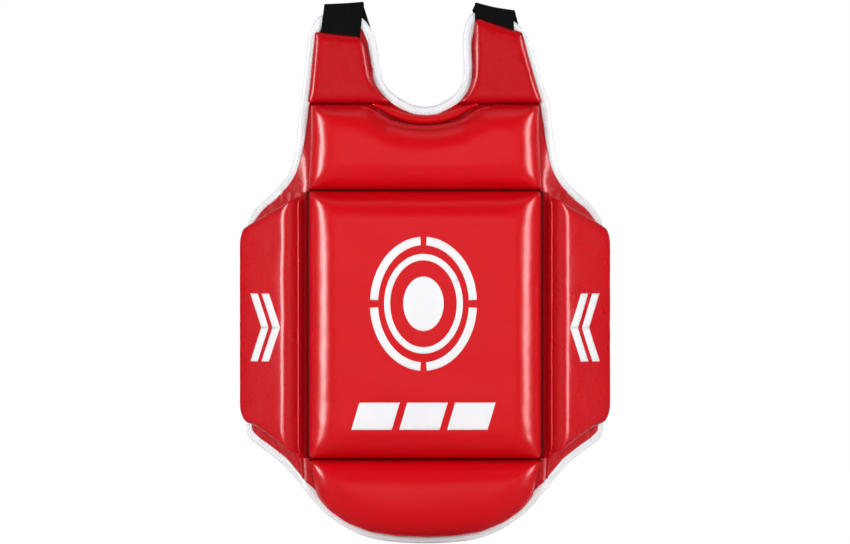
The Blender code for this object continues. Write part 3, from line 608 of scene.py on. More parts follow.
def inflate(name, points, faces, grid, cap, slack):
    """Moves from a short cloth simulation: a cover cut a little large, filled by its foam.

    The seam is pinned, the line next to it half held, and no move is longer than cap.
    """
    seam = border(grid, 0)
    mesh = outward_mesh(name + "_sim", points, faces)
    ob = bpy.data.objects.new(name + "_sim", mesh)
    scene.collection.objects.link(ob)
    pins = ob.vertex_groups.new(name="seam")
    pins.add(seam, 1.0, "REPLACE")
    pins.add(border(grid, 1), 0.6, "REPLACE")
    cover = ob.modifiers.new("cloth", "CLOTH")
    st = cover.settings
    st.quality = 5
    st.mass = 0.2
    st.tension_stiffness = st.compression_stiffness = 20
    st.shear_stiffness = 8
    st.bending_stiffness = 0.4
    st.tension_damping = st.compression_damping = st.shear_damping = 12
    st.bending_damping = 1.0
    st.vertex_group_mass = "seam"
    st.use_pressure = True
    st.uniform_pressure_force = 2.5
    st.shrink_min = slack
    st.effector_weights.gravity = 0
    cover.collision_settings.use_collision = False
    cover.point_cache.frame_start = 1
    cover.point_cache.frame_end = 16
    for f in range(1, 15):
        scene.frame_set(f)
    settled = ob.evaluated_get(bpy.context.evaluated_depsgraph_get())
    out = np.zeros(len(mesh.vertices) * 3, np.float32)
    settled.data.vertices.foreach_get("co", out)
    bpy.data.objects.remove(ob)
    scene.frame_set(1)
    move = out.reshape(-1, 3).astype(float) - points
    move[seam] = 0
    length = np.linalg.norm(move, axis=1)[:, None] + 1e-12
    move *= np.minimum(1, cap * np.tanh(length / cap) / length)
    # a simulation that ran away leaves the pad as it was
    return move if np.isfinite(move).all() else np.zeros_like(points)


def spaced(length, steps, cell):
    """Parameters 0..1 with the given first distances at both ends."""
    inner = max(4, int(round((length - 2 * steps[-1]) / cell)))
    middle = np.linspace(steps[-1], length - steps[-1], inner + 1)
    return np.concatenate([steps[:-1], middle, (length - steps[:-1])[::-1]]) / length


def distance_in(points, sides):
    """Distance of plan points from four side lines, blended to leave no creases."""
    sharpness = 3.2
    out = np.empty(len(points))
    for k in range(0, len(points), 1500):
        block = points[k:k + 1500, None]
        total = 0
        for line in sides:
            start, run = line[:-1], np.diff(line, axis=0)
            t = np.clip(((block - start) * run).sum(2) / (run ** 2).sum(1), 0, 1)
            gap = np.linalg.norm(block - (start + t[..., None] * run), axis=2).min(1)
            total = total + np.maximum(gap, 1e-6) ** -sharpness
        out[k:k + 1500] = total ** (-1 / sharpness)
    return out


def pad_plan(outline, corners, corner_radius, steps, cell):
    """Plan grid stretched between four sides, and each point's distance from them."""
    edge = round_corners(outline, corner_radius)
    edge = np.vstack([edge, edge[:1]])
    along = arc_lengths(edge)
    starts = [along[np.argmin(np.linalg.norm(edge[:-1] - np.array(c), axis=1))]
              for c in corners]
    lengths = [(starts[(i + 1) % 4] - starts[i]) % along[-1] for i in range(4)]

    def side_line(i, t):
        return interp_rows((starts[i] + lengths[i] * t) % along[-1], along, edge)

    us = spaced(min(lengths[0], lengths[2]), steps, cell)
    vs = spaced(min(lengths[1], lengths[3]), steps, cell)
    low, end = side_line(0, us), side_line(1, vs)
    high = side_line(2, 1 - us[::-1])[::-1]
    start = side_line(3, 1 - vs[::-1])[::-1]
    u, v = us[:, None, None], vs[None, :, None]
    plan = ((1 - v) * low[:, None] + v * high[:, None] + (1 - u) * start[None] + u * end[None]
            - (1 - u) * (1 - v) * low[0] - u * (1 - v) * low[-1] - (1 - u) * v * high[0]
            - u * v * high[-1])
    sides = [side_line(i, np.linspace(0, 1, 90)) for i in range(4)]
    inset = distance_in(plan.reshape(-1, 2), sides).reshape(plan.shape[:2])
    inset[0] = inset[-1] = 0
    inset[:, 0] = inset[:, -1] = 0
    return plan[..., 0], plan[..., 1], inset


def pad(name, body, outline, corners, place, height, roll, mat, seed, power=2.2,
        corner_radius=0.0035, cell=0.0034, crown=0.0, pucker=0.0002, side=1, cap=0.0010,
        shade=0.75, slack=-0.006):
    """Sewn pad, steep at the seams and soft on top.

    roll and power shape the edge, crown domes the top, pucker wrinkles it near the seam,
    shade is the strength of the shade painted in at the seam; cap and slack limit the move and
    size the cover in inflate.
    """
    steps = roll * (1 - np.cos(np.radians(np.linspace(0, 62, 8))) ** (2 / power))
    x, z, inset = pad_plan(outline, corners, corner_radius, steps, cell)
    depth = height * (1 - np.clip(1 - inset / roll, 0, 1) ** power) ** (1 / power)
    fade = np.clip(inset / 0.004, 0, 1)
    depth = depth + (fade * pucker * wobble(x, z, seed, 0.014)
                     * np.exp(-((inset - 0.009) / 0.008) ** 2))
    depth = depth + fade * 0.0003 * wobble(x, z, seed + 3, 0.07) * np.clip(inset / 0.02, 0, 1)
    mid_x, mid_z = 0.5 * (x.min() + x.max()), 0.5 * (z.min() + z.max())
    dome = ((1 - (2 * (x - mid_x) / np.ptp(x)) ** 2) * (1 - (2 * (z - mid_z) / np.ptp(z)) ** 2))
    depth = np.maximum(depth + crown * np.clip(dome, 0, 1), 0) + 0.0004
    grid = np.arange(x.size).reshape(x.shape)
    faces = grid_cells(*grid.shape)
    points = place(side * x, z, depth).reshape(-1, 3)
    move = inflate(name, points, faces, grid, cap, slack).reshape(*grid.shape, 3)
    for _ in range(4):
        soften(move)
        soften(move.swapaxes(0, 1))
        move[0] = move[-1] = 0
        move[:, 0] = move[:, -1] = 0
    points = points + move.reshape(-1, 3)
    # painted shade: the edge attribute rises towards the pad's base, darkening it to the rim
    # colour
    make(name, points, faces + [tuple(border(grid, 0))[::-1]], mat, "leather", body=body,
         replaced=(body + "_cover", body + "_foam"),
         shade=np.clip(1 - depth / 0.006, 0, 1).ravel() ** 1.3 * shade)
    PADS[name] = place, grid, points


def all_pads():
    pad("belly_pad", "belly", BELLY, BELLY, flat, height=0.0335, roll=0.0265, mat=LEATHER,
        seed=11, crown=0.0012)
    pad("chest_pad", "chest", CHEST, CHEST_CORNERS, flat, height=0.0310, roll=0.0250,
        mat=LEATHER, seed=21, crown=0.0008)
    pad("lower_pad", "lower", LOWER, LOWER_CORNERS, flat, height=0.0285, roll=0.026,
        mat=LEATHER, seed=31, corner_radius=0.0030, crown=0.0005)
    for side, tag in SIDES:
        pad("wing_pad_" + tag, "wing_" + tag, WING, WING_CORNERS, wing_place(side),
            height=0.0200, roll=0.0108, mat=WING_LEATHER, seed=41 + side, power=2.1,
            corner_radius=0.0040, crown=0.0005, shade=0.3, slack=0.0, cap=0.0004,
            pucker=0.0001)
        pad("tab_pad_" + tag, "shoulder_" + tag, TABS[tag], TAB_CORNERS[tag], tab_place(side),
            height=0.0074, roll=0.0068, mat=TAB_LEATHER, seed=61 + side, power=2.0,
            corner_radius=0.0030, side=side, cell=0.0028, cap=0.0006, shade=0.5)


# ---------------------------------------------------------------- backing and lining sheets
def sheets(body, x, z, place, seed, lift=0.0):
    """Backing and lining of a panel from a grid of plan points."""
    fade = np.ones(x.shape)
    fade[0] = fade[-1] = 0
    fade[:, 0] = fade[:, -1] = 0
    puff = 0.00045 * fade * wobble(x, z, seed, 0.022) ** 2
    slab(body + "_sheet", place(x, z, puff + lift), place(x, z, SHEET_BACK + 0.5 * lift),
         BACKING, "backing", body=body, replaced=[body + "_backing"])
    sag = 0.0007 * fade * (0.5 + 0.5 * wobble(x, z, seed + 1, 0.035))
    slab(body + "_liner", place(x, z, LINING_FRONT), place(x, z, LINING_BACK - sag),
         LINING, "lining", body=body, replaced=[body + "_lining"])


def column_grid(xs, low, high, count):
    """Plan grid of upright columns at xs, each from low to high."""
    low, high = (np.broadcast_to(q, xs.shape)[:, None] for q in (low, high))
    return np.repeat(xs[:, None], count, 1), low + (high - low) * np.linspace(0, 1, count)[None]


def belly_sheets():
    xs = np.linspace(-HALF + SEAM_GAP, HALF - SEAM_GAP, 61)
    sheets("belly", *column_grid(xs, Z_LOWER + SEAM_GAP, Z_CHEST - SEAM_GAP, 67), flat, seed=5)


def lower_sheets():
    xs = np.linspace(-0.1145, 0.1145, 61)
    low = profile(HEM, np.abs(xs)) + EDGE * (1.0 + 0.6 * np.abs(xs / 0.115) ** 3)
    x, z = column_grid(xs, low, Z_LOWER - SEAM_GAP, 21)
    x[:, 2:] = x[:, 2:] * (1 + 0.0120 * np.linspace(0, 1, 19)[None] ** 0.35)
    sheets("lower", x, z, flat, seed=6)


def chest_sheets():
    across = np.linspace(-1, 1, 81)
    top_x = np.abs(across) * 0.1235
    top = np.where(top_x < 0.0150, profile(NECK, top_x) - EDGE, Z_TAB - SEAM_GAP)
    low = np.where(np.abs(across) > 0.79, Z_CHEST - 0.0018, Z_CHEST + 0.0004)
    z = low[:, None] + np.linspace(0, 1, 31)[None] * (top[:, None] - low[:, None])
    half = profile(ARMHOLE, z, by=1) - EDGE * 1.3 - 1.2 * np.clip(0.3560 - z, 0, 1)
    x = across[:, None] * half
    # the flap's lower edge is lifted clear of the wing
    lift = 0.0012 * np.clip((Z_CHEST + 0.004 - z) / 0.004, 0, 1) * (np.abs(x) > 0.1165)
    sheets("chest", x, z, chest_place, seed=7, lift=lift)


def shoulder_sheets(side, tag):
    zs = np.concatenate([np.linspace(TAB_LOW, 0.518, 26), np.linspace(0.5195, 0.5266, 8)])
    inner, outer = profile(TAB_IN, zs, by=1), profile(TAB_OUT, zs, by=1)
    # keep EDGE square to the outline, up to three times as wide on the level parts
    inner = inner + EDGE * np.minimum(np.hypot(1, np.gradient(inner, zs)), 3)
    outer = outer - EDGE * np.minimum(np.hypot(1, np.gradient(outer, zs)), 3)
    x = side * (inner + (outer - inner) * np.linspace(0, 1, 25)[:, None])
    sheets("shoulder_" + tag, x, np.repeat(zs[None], 25, 0), tab_place(side), seed=8 + side)


def wing_sheets(side, tag):
    out = np.concatenate([np.linspace(SEAM_GAP, 0.084, 29),
                          np.linspace(0.0855, WING_WIDTH - EDGE, 5)])
    top = np.where(out < 0.0480, 0.3512, profile(WING_TOP, out)) - EDGE * (out > 0.046)
    low = profile(WING_BOTTOM, out) + EDGE * 1.15
    sheets("wing_" + tag, *column_grid(out, low, top, 61), wing_place(side), seed=18 + side)


# ---------------------------------------------------------------- folds and their seam tapes
# wing fold, belly side: (x, x shift of the back, depth, shade)
WING_FOLD_BELLY = [(0.1142, 0.0006, 0.0090, 1.0), (0.1150, 0.0006, 0.0050, 1.0),
                   (0.1157, 0.0006, 0.0022, 1.0), (0.1163, 0.0006, 0.0010, 1.0),
                   (0.1170, 0.0, 0.0008, 1.0), (0.1180, 0.0, 0.0010, 0.70)]
# wing side: (distance out, depth, shade)
WING_FOLD_WING = [(0.0002, 0.0014, 0.40), (0.0010, 0.0026, 0.15), (0.0019, 0.0036, 0.03),
                  (0.0032, 0.0044, 0.0)]
# walls of the level grooves: (distance from the fold, depth)
GROOVE_WALL = [(0.0016, 0.0090), (0.0010, 0.0050), (0.0006, 0.0022), (0.0003, 0.0011)]
# tab fold: (height from the fold, depth, shade)
TAB_FOLD = [(-0.0052, 0.0006, 0), (-0.0026, 0.0009, 0), (-0.0012, 0.0010, 0.4),
            (0.0, 0.0008, 0.8), (0.0012, 0.0010, 0.4), (0.0026, 0.0009, 0),
            (0.0052, 0.0006, 0)]
# hip gusset: (x, lowest z, depth at the top)
HIP_GUSSET = [(0.1090, 0.0500, 0.0005), (0.1135, 0.0530, 0.0008), (0.1163, 0.0550, 0.0010),
              (0.1172, 0.0560, 0.0011), (0.1186, 0.0575, 0.0014), (0.1201, 0.0592, 0.0016)]
# hip ridge: (distance out, depth at the top, depth at the bottom)
HIP_RIDGE = [(0.0001, 0.0012, 0.0004), (0.0008, 0.0030, 0.0010), (0.0016, 0.0040, 0.0012),
             (0.0026, 0.0042, 0.0010), (0.0036, 0.0028, 0.0003)]


def corner_grid(side, zs, xs, outs, depth):
    """Grid round the wing fold: columns at xs on the belly, then at outs on the wing."""
    wing = wing_place(side)
    return np.stack([flat(side * x, zs, depth) for x in xs]
                    + [wing(out, zs, depth) for out in outs], 1)


def wing_fold(side, tag):
    wing = wing_place(side)
    zs = np.linspace(0.0848, 0.3512, 120)
    front = [flat(side * x, zs, d) for x, shift, d, _ in WING_FOLD_BELLY]
    back = [flat(side * (x - shift), zs, d - 0.0010) for x, shift, d, _ in WING_FOLD_BELLY]
    flatten = 1 - 0.75 * np.clip((zs - 0.3380) / 0.0130, 0, 1) ** 2     # towards the top
    front += [wing(out, zs, d * flatten) for out, d, _ in WING_FOLD_WING]
    back += [wing(out + 0.0006, zs, d * flatten - 0.0010) for out, d, _ in WING_FOLD_WING]
    bodies = ("belly", "wing_" + tag)
    slab("fold_wing_" + tag, np.stack(front, 1), np.stack(back, 1), FOLD, "backing",
         column_shades=[row[-1] for row in WING_FOLD_BELLY + WING_FOLD_WING],
         blend=(*bodies, tuple(flat(side * 0.1163, 0.2, 0.001)),
                tuple(wing(0.0006, 0.2, 0.001))))
    zs = np.linspace(0.0850, 0.3505, 70)
    front, back = (corner_grid(side, zs, (0.1085, 0.1120, 0.1150), (0.0010, 0.0040, 0.0070), d)
                   for d in (SEAM_FRONT, SEAM_BACK))
    slab("seam_wing_" + tag, front, back, WEBBING, "lining",
         blend=(*bodies, tuple(flat(side * 0.1135, 0.2, -0.005)),
                tuple(wing(0.0025, 0.2, -0.005))))


def level_grid(xs, z_fold, stations):
    """Grid across a level fold; stations are (height from the fold, depth)."""
    return np.stack([flat(xs, z_fold + dz, depth) for dz, depth in stations], 1)


def level_blend(bodies, z_fold, reach):
    return (*bodies, (0, FRONT_Y, z_fold - reach), (0, FRONT_Y, z_fold + reach))


def level_seam(name, bodies, xs, z_fold, up=1):
    """Flat seam tape behind a level fold."""
    front, back = (level_grid(xs, z_fold, [(up * dz, depth) for dz in
                                           (-0.0070, -0.0035, 0.0, 0.0035, 0.0070)])
                   for depth in (SEAM_FRONT, SEAM_BACK))
    slab("seam_" + name, front, back, WEBBING, "lining",
         blend=level_blend(bodies, z_fold, up * 0.003))


def groove(name, z_fold, up):
    """Groove between the belly and the panel above (up 1) or below (up -1), its strip painted
    dark as shade.
    """
    xs = np.linspace(-0.1150, 0.1150, 110)
    wave = 0.00035 * ripple(110, seed=91 + up)
    stations = ([(-dz, d) for dz, d in GROOVE_WALL] + [(0.0, 0.0008)] + GROOVE_WALL[::-1])
    front = [(up * dz, d + wave) for dz, d in stations]
    back = [(up * (dz + 0.0006 * np.sign(dz)), d - 0.0010 + wave) for dz, d in stations]
    slab("fold_" + name, level_grid(xs, z_fold, front), level_grid(xs, z_fold, back), GROOVE,
         "backing", blend=level_blend(("belly", name), z_fold, up * 0.0022))
    level_seam(name, ("belly", name), np.linspace(-0.1148, 0.1148, 60), z_fold, up)


def tab_fold(side, tag):
    bodies = ("chest", "shoulder_" + tag)
    xs = side * np.linspace(0.0268, 0.1155, 50)
    slab("fold_tab_" + tag, level_grid(xs, Z_TAB, [(dz, d) for dz, d, _ in TAB_FOLD]),
         level_grid(xs, Z_TAB, [(dz, d - 0.0012) for dz, d, _ in TAB_FOLD]), FOLD, "backing",
         column_shades=[row[-1] for row in TAB_FOLD], blend=level_blend(bodies, Z_TAB, 0.002))
    level_seam("tab_" + tag, bodies, side * np.linspace(0.0345, 0.1150, 40), Z_TAB)


def hip(side, tag):
    """Gusset, ridge and lining tape that carry the wing fold down to the hem."""
    wing = wing_place(side)
    t = np.linspace(0, 1, 26)
    front, back = [], []
    for x, low, top_depth in HIP_GUSSET:
        z = low + (0.0848 - low) * t
        depth = 0.0003 + (top_depth - 0.0003) * t ** 1.3
        front.append(chest_place(side * x, z, depth))
        back.append(chest_place(side * x, z, depth - 0.0009))
    slab("hip_gusset_" + tag, np.stack(front, 1), np.stack(back, 1), BACKING, "backing",
         body="lower")
    front, back = [], []
    for out, top_depth, low_depth in HIP_RIDGE:
        low = float(profile(WING_BOTTOM, out)) + 0.0055
        z = low + (0.0850 - low) * t
        depth = low_depth + (top_depth - low_depth) * t ** 1.3
        front.append(wing(out, z, depth))
        back.append(wing(out, z, np.minimum(depth - 0.0008, 0.0)))
    slab("hip_ridge_" + tag, np.stack(front, 1), np.stack(back, 1), BACKING, "backing",
         body="wing_" + tag)
    zs = np.linspace(0.0605, 0.0862, 14)
    front, back = (corner_grid(side, zs, (0.1143, 0.1152), (0.0010, 0.0034), d)
                   for d in (SEAM_FRONT, -0.0055))
    slab("seam_hip_" + tag, front, back, WEBBING, "lining", body="wing_" + tag)


# ---------------------------------------------------------------- edge binding
TAPE_MIDDLE = -0.0022           # depth of the tape's middle


def tape_section():
    """(inset, depth) columns round a rolled tape: front, back, then inside."""
    front = [(0.0084, 0.0005), (0.0080, 0.0014), (0.0070, 0.0018), (0.0050, 0.0019),
             (0.0030, 0.0019), (0.0014, 0.0016), (0.0004, 0.0006), (-0.0001, -0.0008)]
    back = [(inset, 2 * TAPE_MIDDLE - depth - 0.0003) for inset, depth in front[::-1]]
    inside = [(0.0080, -0.0049), (0.0030, -0.0047), (0.0012, -0.0042), (0.0012, -0.0002),
              (0.0030, 0.0005), (0.0080, 0.0003)]
    return np.array(front + [(-0.0002, TAPE_MIDDLE)] + back + inside).T


TAPE_INSET, TAPE_DEPTH = tape_section()


def sweep(line, normals, inset, depth, place):
    """Rings of a section along a plan line; inset is measured along the normals."""
    plan = line[:, None] + inset[..., None] * normals[:, None]
    return place(plan[..., 0], plan[..., 1], depth)


def fatten(depth, by):
    """Push a tape's depths away from its middle."""
    return depth + np.where(depth > TAPE_MIDDLE, by, -by)


def chest_normals(line):
    """Normals that keep their length on the flap, which runs back at an angle."""
    shrink = np.where(np.abs(line[:, 0]) > FLAP_X, np.cos(flap_angle(line[:, 1])), 1.0)
    tangent = np.gradient(line, axis=0)
    tangent[:, 0] /= shrink
    tangent = unit(tangent)
    normals = np.stack([-tangent[:, 1] * shrink, tangent[:, 0]], -1)
    soften(normals, 3)
    return normals


def binding(name, body, line, place, replaced, seed, sleeve=0.0):
    """Rolled tape along a plan line, the panel on its left; sleeve fattens both ends."""
    count = max(6, int(arc_lengths(np.asarray(line, float))[-1] / 0.0024))
    line = smooth_line(line, count, 5)
    normals = chest_normals(line) if place is chest_place else line_normals(line)
    along = arc_lengths(line)
    phase = np.random.RandomState(seed + 5).uniform(0, 6)
    wave = (0.00025 * np.sin(along / 0.011 + phase) + 0.0002 * np.sin(along / 0.0047))[:, None]
    inset = TAPE_INSET + np.where(TAPE_INSET > 0.006, wave, 0)
    depth = TAPE_DEPTH + np.where(TAPE_DEPTH > 0.001, 0.4 * wave, 0)
    to_end = np.minimum(along, along[-1] - along)
    fat = sleeve * np.clip(1.4 - to_end / 0.009, 0, 1)[:, None]
    tape = Shells()
    tape.tube(sweep(line, normals, inset - fat, fatten(depth, fat), place))
    tape.make(name, BINDING, "binding", body=body, replaced=[replaced], sharp=60)
    thread = Shells()
    x, z = (line + 0.0058 * normals).T
    for depth, outward in ((0.0019, 0.001), (-0.0066, -0.001)):
        path = place(x, z, depth)
        stitches(thread, path, unit(place(x, z, depth + outward) - path))
    thread.make(name + "_thread", THREAD, "binding", body=body)


def all_bindings():
    binding("hem_tape", "lower", both_sides(HEM + HEM_TAPE_END), chest_place, "hem_binding",
            seed=1, sleeve=0.0004)
    binding("neck_tape", "chest", both_sides(NECK)[::-1], flat, "neck_binding", seed=2)
    for side, tag in SIDES:
        binding("armhole_tape_" + tag, "chest", mirrored(ARMHOLE + ARMHOLE_TAPE_END, side),
                chest_place, "armhole_binding_" + tag, seed=3, sleeve=0.0003)
        binding("tab_tape_" + tag, "shoulder_" + tag, mirrored(TAB_IN + TAB_OUT[::-1], side),
                tab_place(side), "shoulder_%s_binding" % tag, seed=4)
        binding("wing_tape_" + tag, "wing_" + tag,
                WING_TAPE_START + WING_BOTTOM[-2::-1] + WING_TOP[::-1], wing_place(side),
                "wing_%s_binding" % tag, seed=5)


def bridge(name, points, side, tag, x_blend):
    """Slightly fatter tape over the end of a tab fold."""
    line = smooth_line(mirrored(points, side), 20, 4)
    tape = Shells()
    tape.tube(sweep(line, line_normals(line), TAPE_INSET - 0.0003, fatten(TAPE_DEPTH, 0.0003),
                    flat))
    tape.make(name + tag, BINDING, "binding",
              blend=("chest", "shoulder_" + tag, (side * x_blend, FRONT_Y, 0.4366),
                     (side * x_blend, FRONT_Y, 0.4396)))


# ---------------------------------------------------------------- shoulder straps
STRAP_HALF, STRAP_THICK = 0.0195, 0.0019
TURN_RADIUS = 0.0048                    # of the strap over the top of its tab
TURN_DEPTH = 0.0026 - TURN_RADIUS       # depth of the turn's axis
BEHIND_DEPTH = TURN_DEPTH - TURN_RADIUS
# front run of each strap: foot x, z and slant, then the same at the turn
STRAP_RUNS = {"left": (0.0693, 0.5120, -0.26, 0.0689, 0.5290, -0.21),
              "right": (-0.0846, 0.5050, -0.13, -0.0814, 0.5330, 0.06)}
# folded end beside each strap: edge x, root z, tip z, top z, reach towards the centre
STRAP_FLAPS = {"left": (0.0504, 0.5240, 0.5312, 0.5378, 0.0034),
               "right": (0.0626, 0.5205, 0.5152, 0.5392, 0.0080)}


def web_band(path, across, half, thick, columns=9, slant=None):
    """Flat webbing with rounded selvedges; slant shears it up or down with x."""
    path = np.asarray(path, float)
    first, second = side_frames(path, across)
    r = thick / 2
    face = np.linspace(-1, 1, columns) * (half - r)
    selvedge = [(half - 0.2 * r, 0.6 * r), (half, 0.0), (half - 0.2 * r, -0.6 * r)]
    section = np.array([(q, r) for q in face] + selvedge + [(q, -r) for q in face[::-1]]
                       + [(-a, -b) for a, b in selvedge])
    rings = (path[:, None] + section[None, :, :1] * first[:, None]
             + section[None, :, 1:] * second[:, None])
    if slant is not None:
        rings[..., 2] += slant[:, None] * (rings[..., 0] - path[:, None, 0])
    band = Shells()
    band.tube(rings)
    return band


def shoulder_strap(side, tag):
    """Up the front of the tab, over its top and down behind."""
    foot_x, foot_z, foot_slant, turn_x, turn_z, turn_slant = STRAP_RUNS[tag]
    x = side * STRAP_X
    shift = x - turn_x          # sideways from the turn to the CAD strap
    rise = np.linspace(0, 1, 14)
    front = flat(foot_x + (turn_x - foot_x) * rise, foot_z + (turn_z - foot_z) * rise,
                 TURN_DEPTH + TURN_RADIUS + 0.0002)
    angle = np.linspace(0, math.pi, 16)[1:-1]
    turn = flat(turn_x + shift * 0.25 * (1 - np.cos(angle)) / 2,
                turn_z + TURN_RADIUS * np.sin(angle), TURN_DEPTH + TURN_RADIUS * np.cos(angle))
    drop = np.linspace(0, 1, 5)
    behind = flat(turn_x + shift * (0.25 + 0.1 * drop), turn_z + (0.5270 - turn_z) * drop,
                  BEHIND_DEPTH)
    tail = flat(np.array([turn_x + shift * 0.36, turn_x + shift * 0.75, x, x]),
                np.array([0.5258, 0.5130, 0.4950, 0.3520]),
                BEHIND_DEPTH - np.array([0.0, 0.0015, 0.0070, 0.0230]))
    path = np.vstack([front, turn, behind, smooth_line(tail, 80, 10)])
    slant = np.concatenate([foot_slant + (turn_slant - foot_slant) * rise,
                            np.full(14, turn_slant), turn_slant * np.linspace(1, 0.8, 5),
                            turn_slant * 0.8 * np.clip(1 - np.linspace(0, 5, 80), 0, 1)])
    y = FRONT_Y - BEHIND_DEPTH
    web_band(path, (1, 0, 0), STRAP_HALF, STRAP_THICK, slant=slant).make(
        "shoulder_strap_" + tag, WEBBING, "webbing",
        blend=("shoulder_" + tag, "strap_" + tag, (x, y, 0.5325), (x, y, 0.5270)),
        replaced=("strap_front_" + tag, "strap_back_" + tag))
    repaint(("slider_" + tag, "buckle_plug_" + tag, "buckle_socket_" + tag), PLASTIC)


def strap_flap(side, tag):
    """Folded strap end: the left one points up, the right one hangs below its root."""
    edge_x, root_z, tip_z, top_z, reach = STRAP_FLAPS[tag]
    zs = np.linspace(min(root_z, tip_z), top_z, 24)
    if root_z < tip_z:
        near = np.zeros(24)
        far = np.interp(zs, [root_z, tip_z, top_z], [0.0, reach, 0.0004])
    else:
        near = np.clip((root_z - zs) / (root_z - tip_z), 0, 1) * (reach - 0.0006)
        far = np.interp(zs, [tip_z, top_z], [reach, 0.0004])
    front, back = [], []
    for t in np.linspace(0, 1, 6):
        x = side * (edge_x + 0.0030 * (1 - t) * (near == 0) - near - (far - near) * t)
        front.append(flat(x, zs, 0.0009 - 0.0006 * t))
        back.append(flat(x, zs, -0.0004 - 0.0006 * t))
    slab("strap_flap_" + tag, np.stack(front, 1), np.stack(back, 1), WEBBING, "webbing",
         body="shoulder_" + tag)


# ---------------------------------------------------------------- waist belt
BELT_Z = 0.17
BELT_DEPTH = -0.0066            # on the back of the wings
BELT_TURN_X = 0.1080            # where the belt starts to run straight across
# y of the straight run before FRONT_Y is added, and x of its tip
BELT_RUNS = {"left": (0.1149, -0.068), "right": (0.1100, 0.012)}


def waist_belt(side, tag):
    run_y, tip_x = BELT_RUNS[tag]
    wing = wing_place(side)
    start = wing(np.linspace(0.060, 0.0915, 9), BELT_Z, BELT_DEPTH)
    # quadratic curve from just past the wing's edge to the straight run
    reach = WING_WIDTH + 0.0020
    x0 = HALF + reach * math.cos(WING_ANGLE) - 0.0006
    y0 = FOLD_Y + reach * math.sin(WING_ANGLE) + 0.0010
    t = np.linspace(0, 1, 24)
    x = (1 - t) ** 2 * x0 + 2 * t * (1 - t) * (x0 - 0.006) + t * t * BELT_TURN_X
    y = (1 - t) ** 2 * y0 + 2 * t * (1 - t) * run_y + t * t * run_y
    curve = flat(side * x, BELT_Z, -y)
    run = flat(np.linspace(side * BELT_TURN_X, tip_x, 40)[1:], BELT_Z, -run_y)
    path = smooth_line(np.vstack([start, curve[2:], run]), 110, 6)
    web_band(path, (0, 0, 1), half=0.0350, thick=0.0022, columns=23).make(
        "waist_strap_" + tag, ELASTIC, "elastic",
        blend=("wing_" + tag, "belt_" + tag, tuple(wing(0.088, BELT_Z, BELT_DEPTH)),
               tuple(curve[4])),
        replaced=("waist_belt_" + tag, "belt_anchor_" + tag))
    stub = flat(side * 0.0850, np.linspace(0.1990, 0.2200, 10), -run_y)
    web_band(stub, (1, 0, 0), STRAP_HALF, STRAP_THICK).make(
        "buckle_web_" + tag, WEBBING, "webbing", body="belt_" + tag,
        replaced=["buckle_stub_" + tag])


# ---------------------------------------------------------------- raised seams
def wall_line(pad_name, k):
    """Closed line round a pad's wall, k grid lines up from its base."""
    _, grid, points = PADS[pad_name]
    return points[border(grid, k)]


def cord(name, body, path, radius, closed=False):
    first, second = side_frames(path, (0, 1, 0.02), closed)
    around = np.linspace(0, 2 * math.pi, 8, endpoint=False)[None, :, None]
    shells = Shells()
    shells.tube(path[:, None] + radius * (np.cos(around) * first[:, None]
                                          + np.sin(around) * second[:, None]), closed)
    shells.make(name, PIPING, "leather", body=body)


def wing_ridge(tag):
    line = wall_line("wing_pad_" + tag, 2)
    for _ in range(2):
        line = 0.25 * np.roll(line, 1, 0) + 0.5 * line + 0.25 * np.roll(line, -1, 0)
    keep = np.linalg.norm(np.roll(line, -1, 0) - line, axis=1) > 0.0004
    cord("wing_ridge_" + tag, "wing_" + tag, line[keep], radius=0.0010, closed=True)


def open_ridge(name, body, line, keep, radius):
    """Cord along the kept part of a closed line."""
    start = int(np.argmax(~keep))
    kept = np.roll(line, -start, 0)[np.roll(keep, -start)]
    cord(name, body, smooth_line(kept, 2 * len(kept), 6), radius)


def all_ridges():
    for _, tag in SIDES:
        wing_ridge(tag)
    line = wall_line("lower_pad", 2)
    open_ridge("lower_ridge", "lower", line, line[:, 2] < 0.052, radius=0.0009)
    line = wall_line("chest_pad", 3)
    open_ridge("chest_ridge", "chest", line, (line[:, 2] > 0.41) & (np.abs(line[:, 0]) < 0.066),
               radius=0.0008)


def neck_roll():
    """Rolled strip along the neckline, thinner at both ends."""
    line = smooth_line(both_sides([(0.0, 0.4220), (0.0170, 0.4236), (0.0300, 0.4276),
                                   (0.0420, 0.4340), (0.0520, 0.4377)]), 70, 6)
    i = np.arange(70)[:, None]
    size = np.minimum(1, 0.35 + 0.05 * np.minimum(i, 69 - i))
    around = np.linspace(0, 2 * math.pi, 20, endpoint=False)
    bulge = 0.0068 * size * np.sin(around) * (1 + 0.03 * np.sin(i * 0.9))
    shells = Shells()
    shells.tube(sweep(line, line_normals(line), 0.0048 * size * np.cos(around),
                      np.maximum(0.0004, 0.0012 + bulge), flat))
    shells.make("neck_roll", LEATHER, "leather", body="chest")


# ---------------------------------------------------------------- printed marks
@functools.cache
def pad_tree(name):
    mesh = bpy.data.objects[name].data
    return BVHTree.FromPolygons([v.co.copy() for v in mesh.vertices],
                                [tuple(p.vertices) for p in mesh.polygons])


def on_pad(name, x, z):
    """Front and back points of a thin patch that lies on a pad's finished surface."""
    place = PADS[name][0]
    far = place(x, z, 0.09).reshape(-1, 3)
    base = place(x, z, 0.0).reshape(-1, 3)
    inward = unit(base - far)
    out = np.zeros_like(far)
    for i, (start, way) in enumerate(zip(far, inward)):
        hit = pad_tree(name).ray_cast(Vector(start), Vector(way))[0]
        out[i] = hit if hit is not None else base[i]
    shape = (*x.shape, 3)
    return (out - inward * 0.0004).reshape(shape), (out + inward * 0.0008).reshape(shape)


MARK_X, MARK_Z = -0.0015, 0.2390        # centre of the belly's round mark


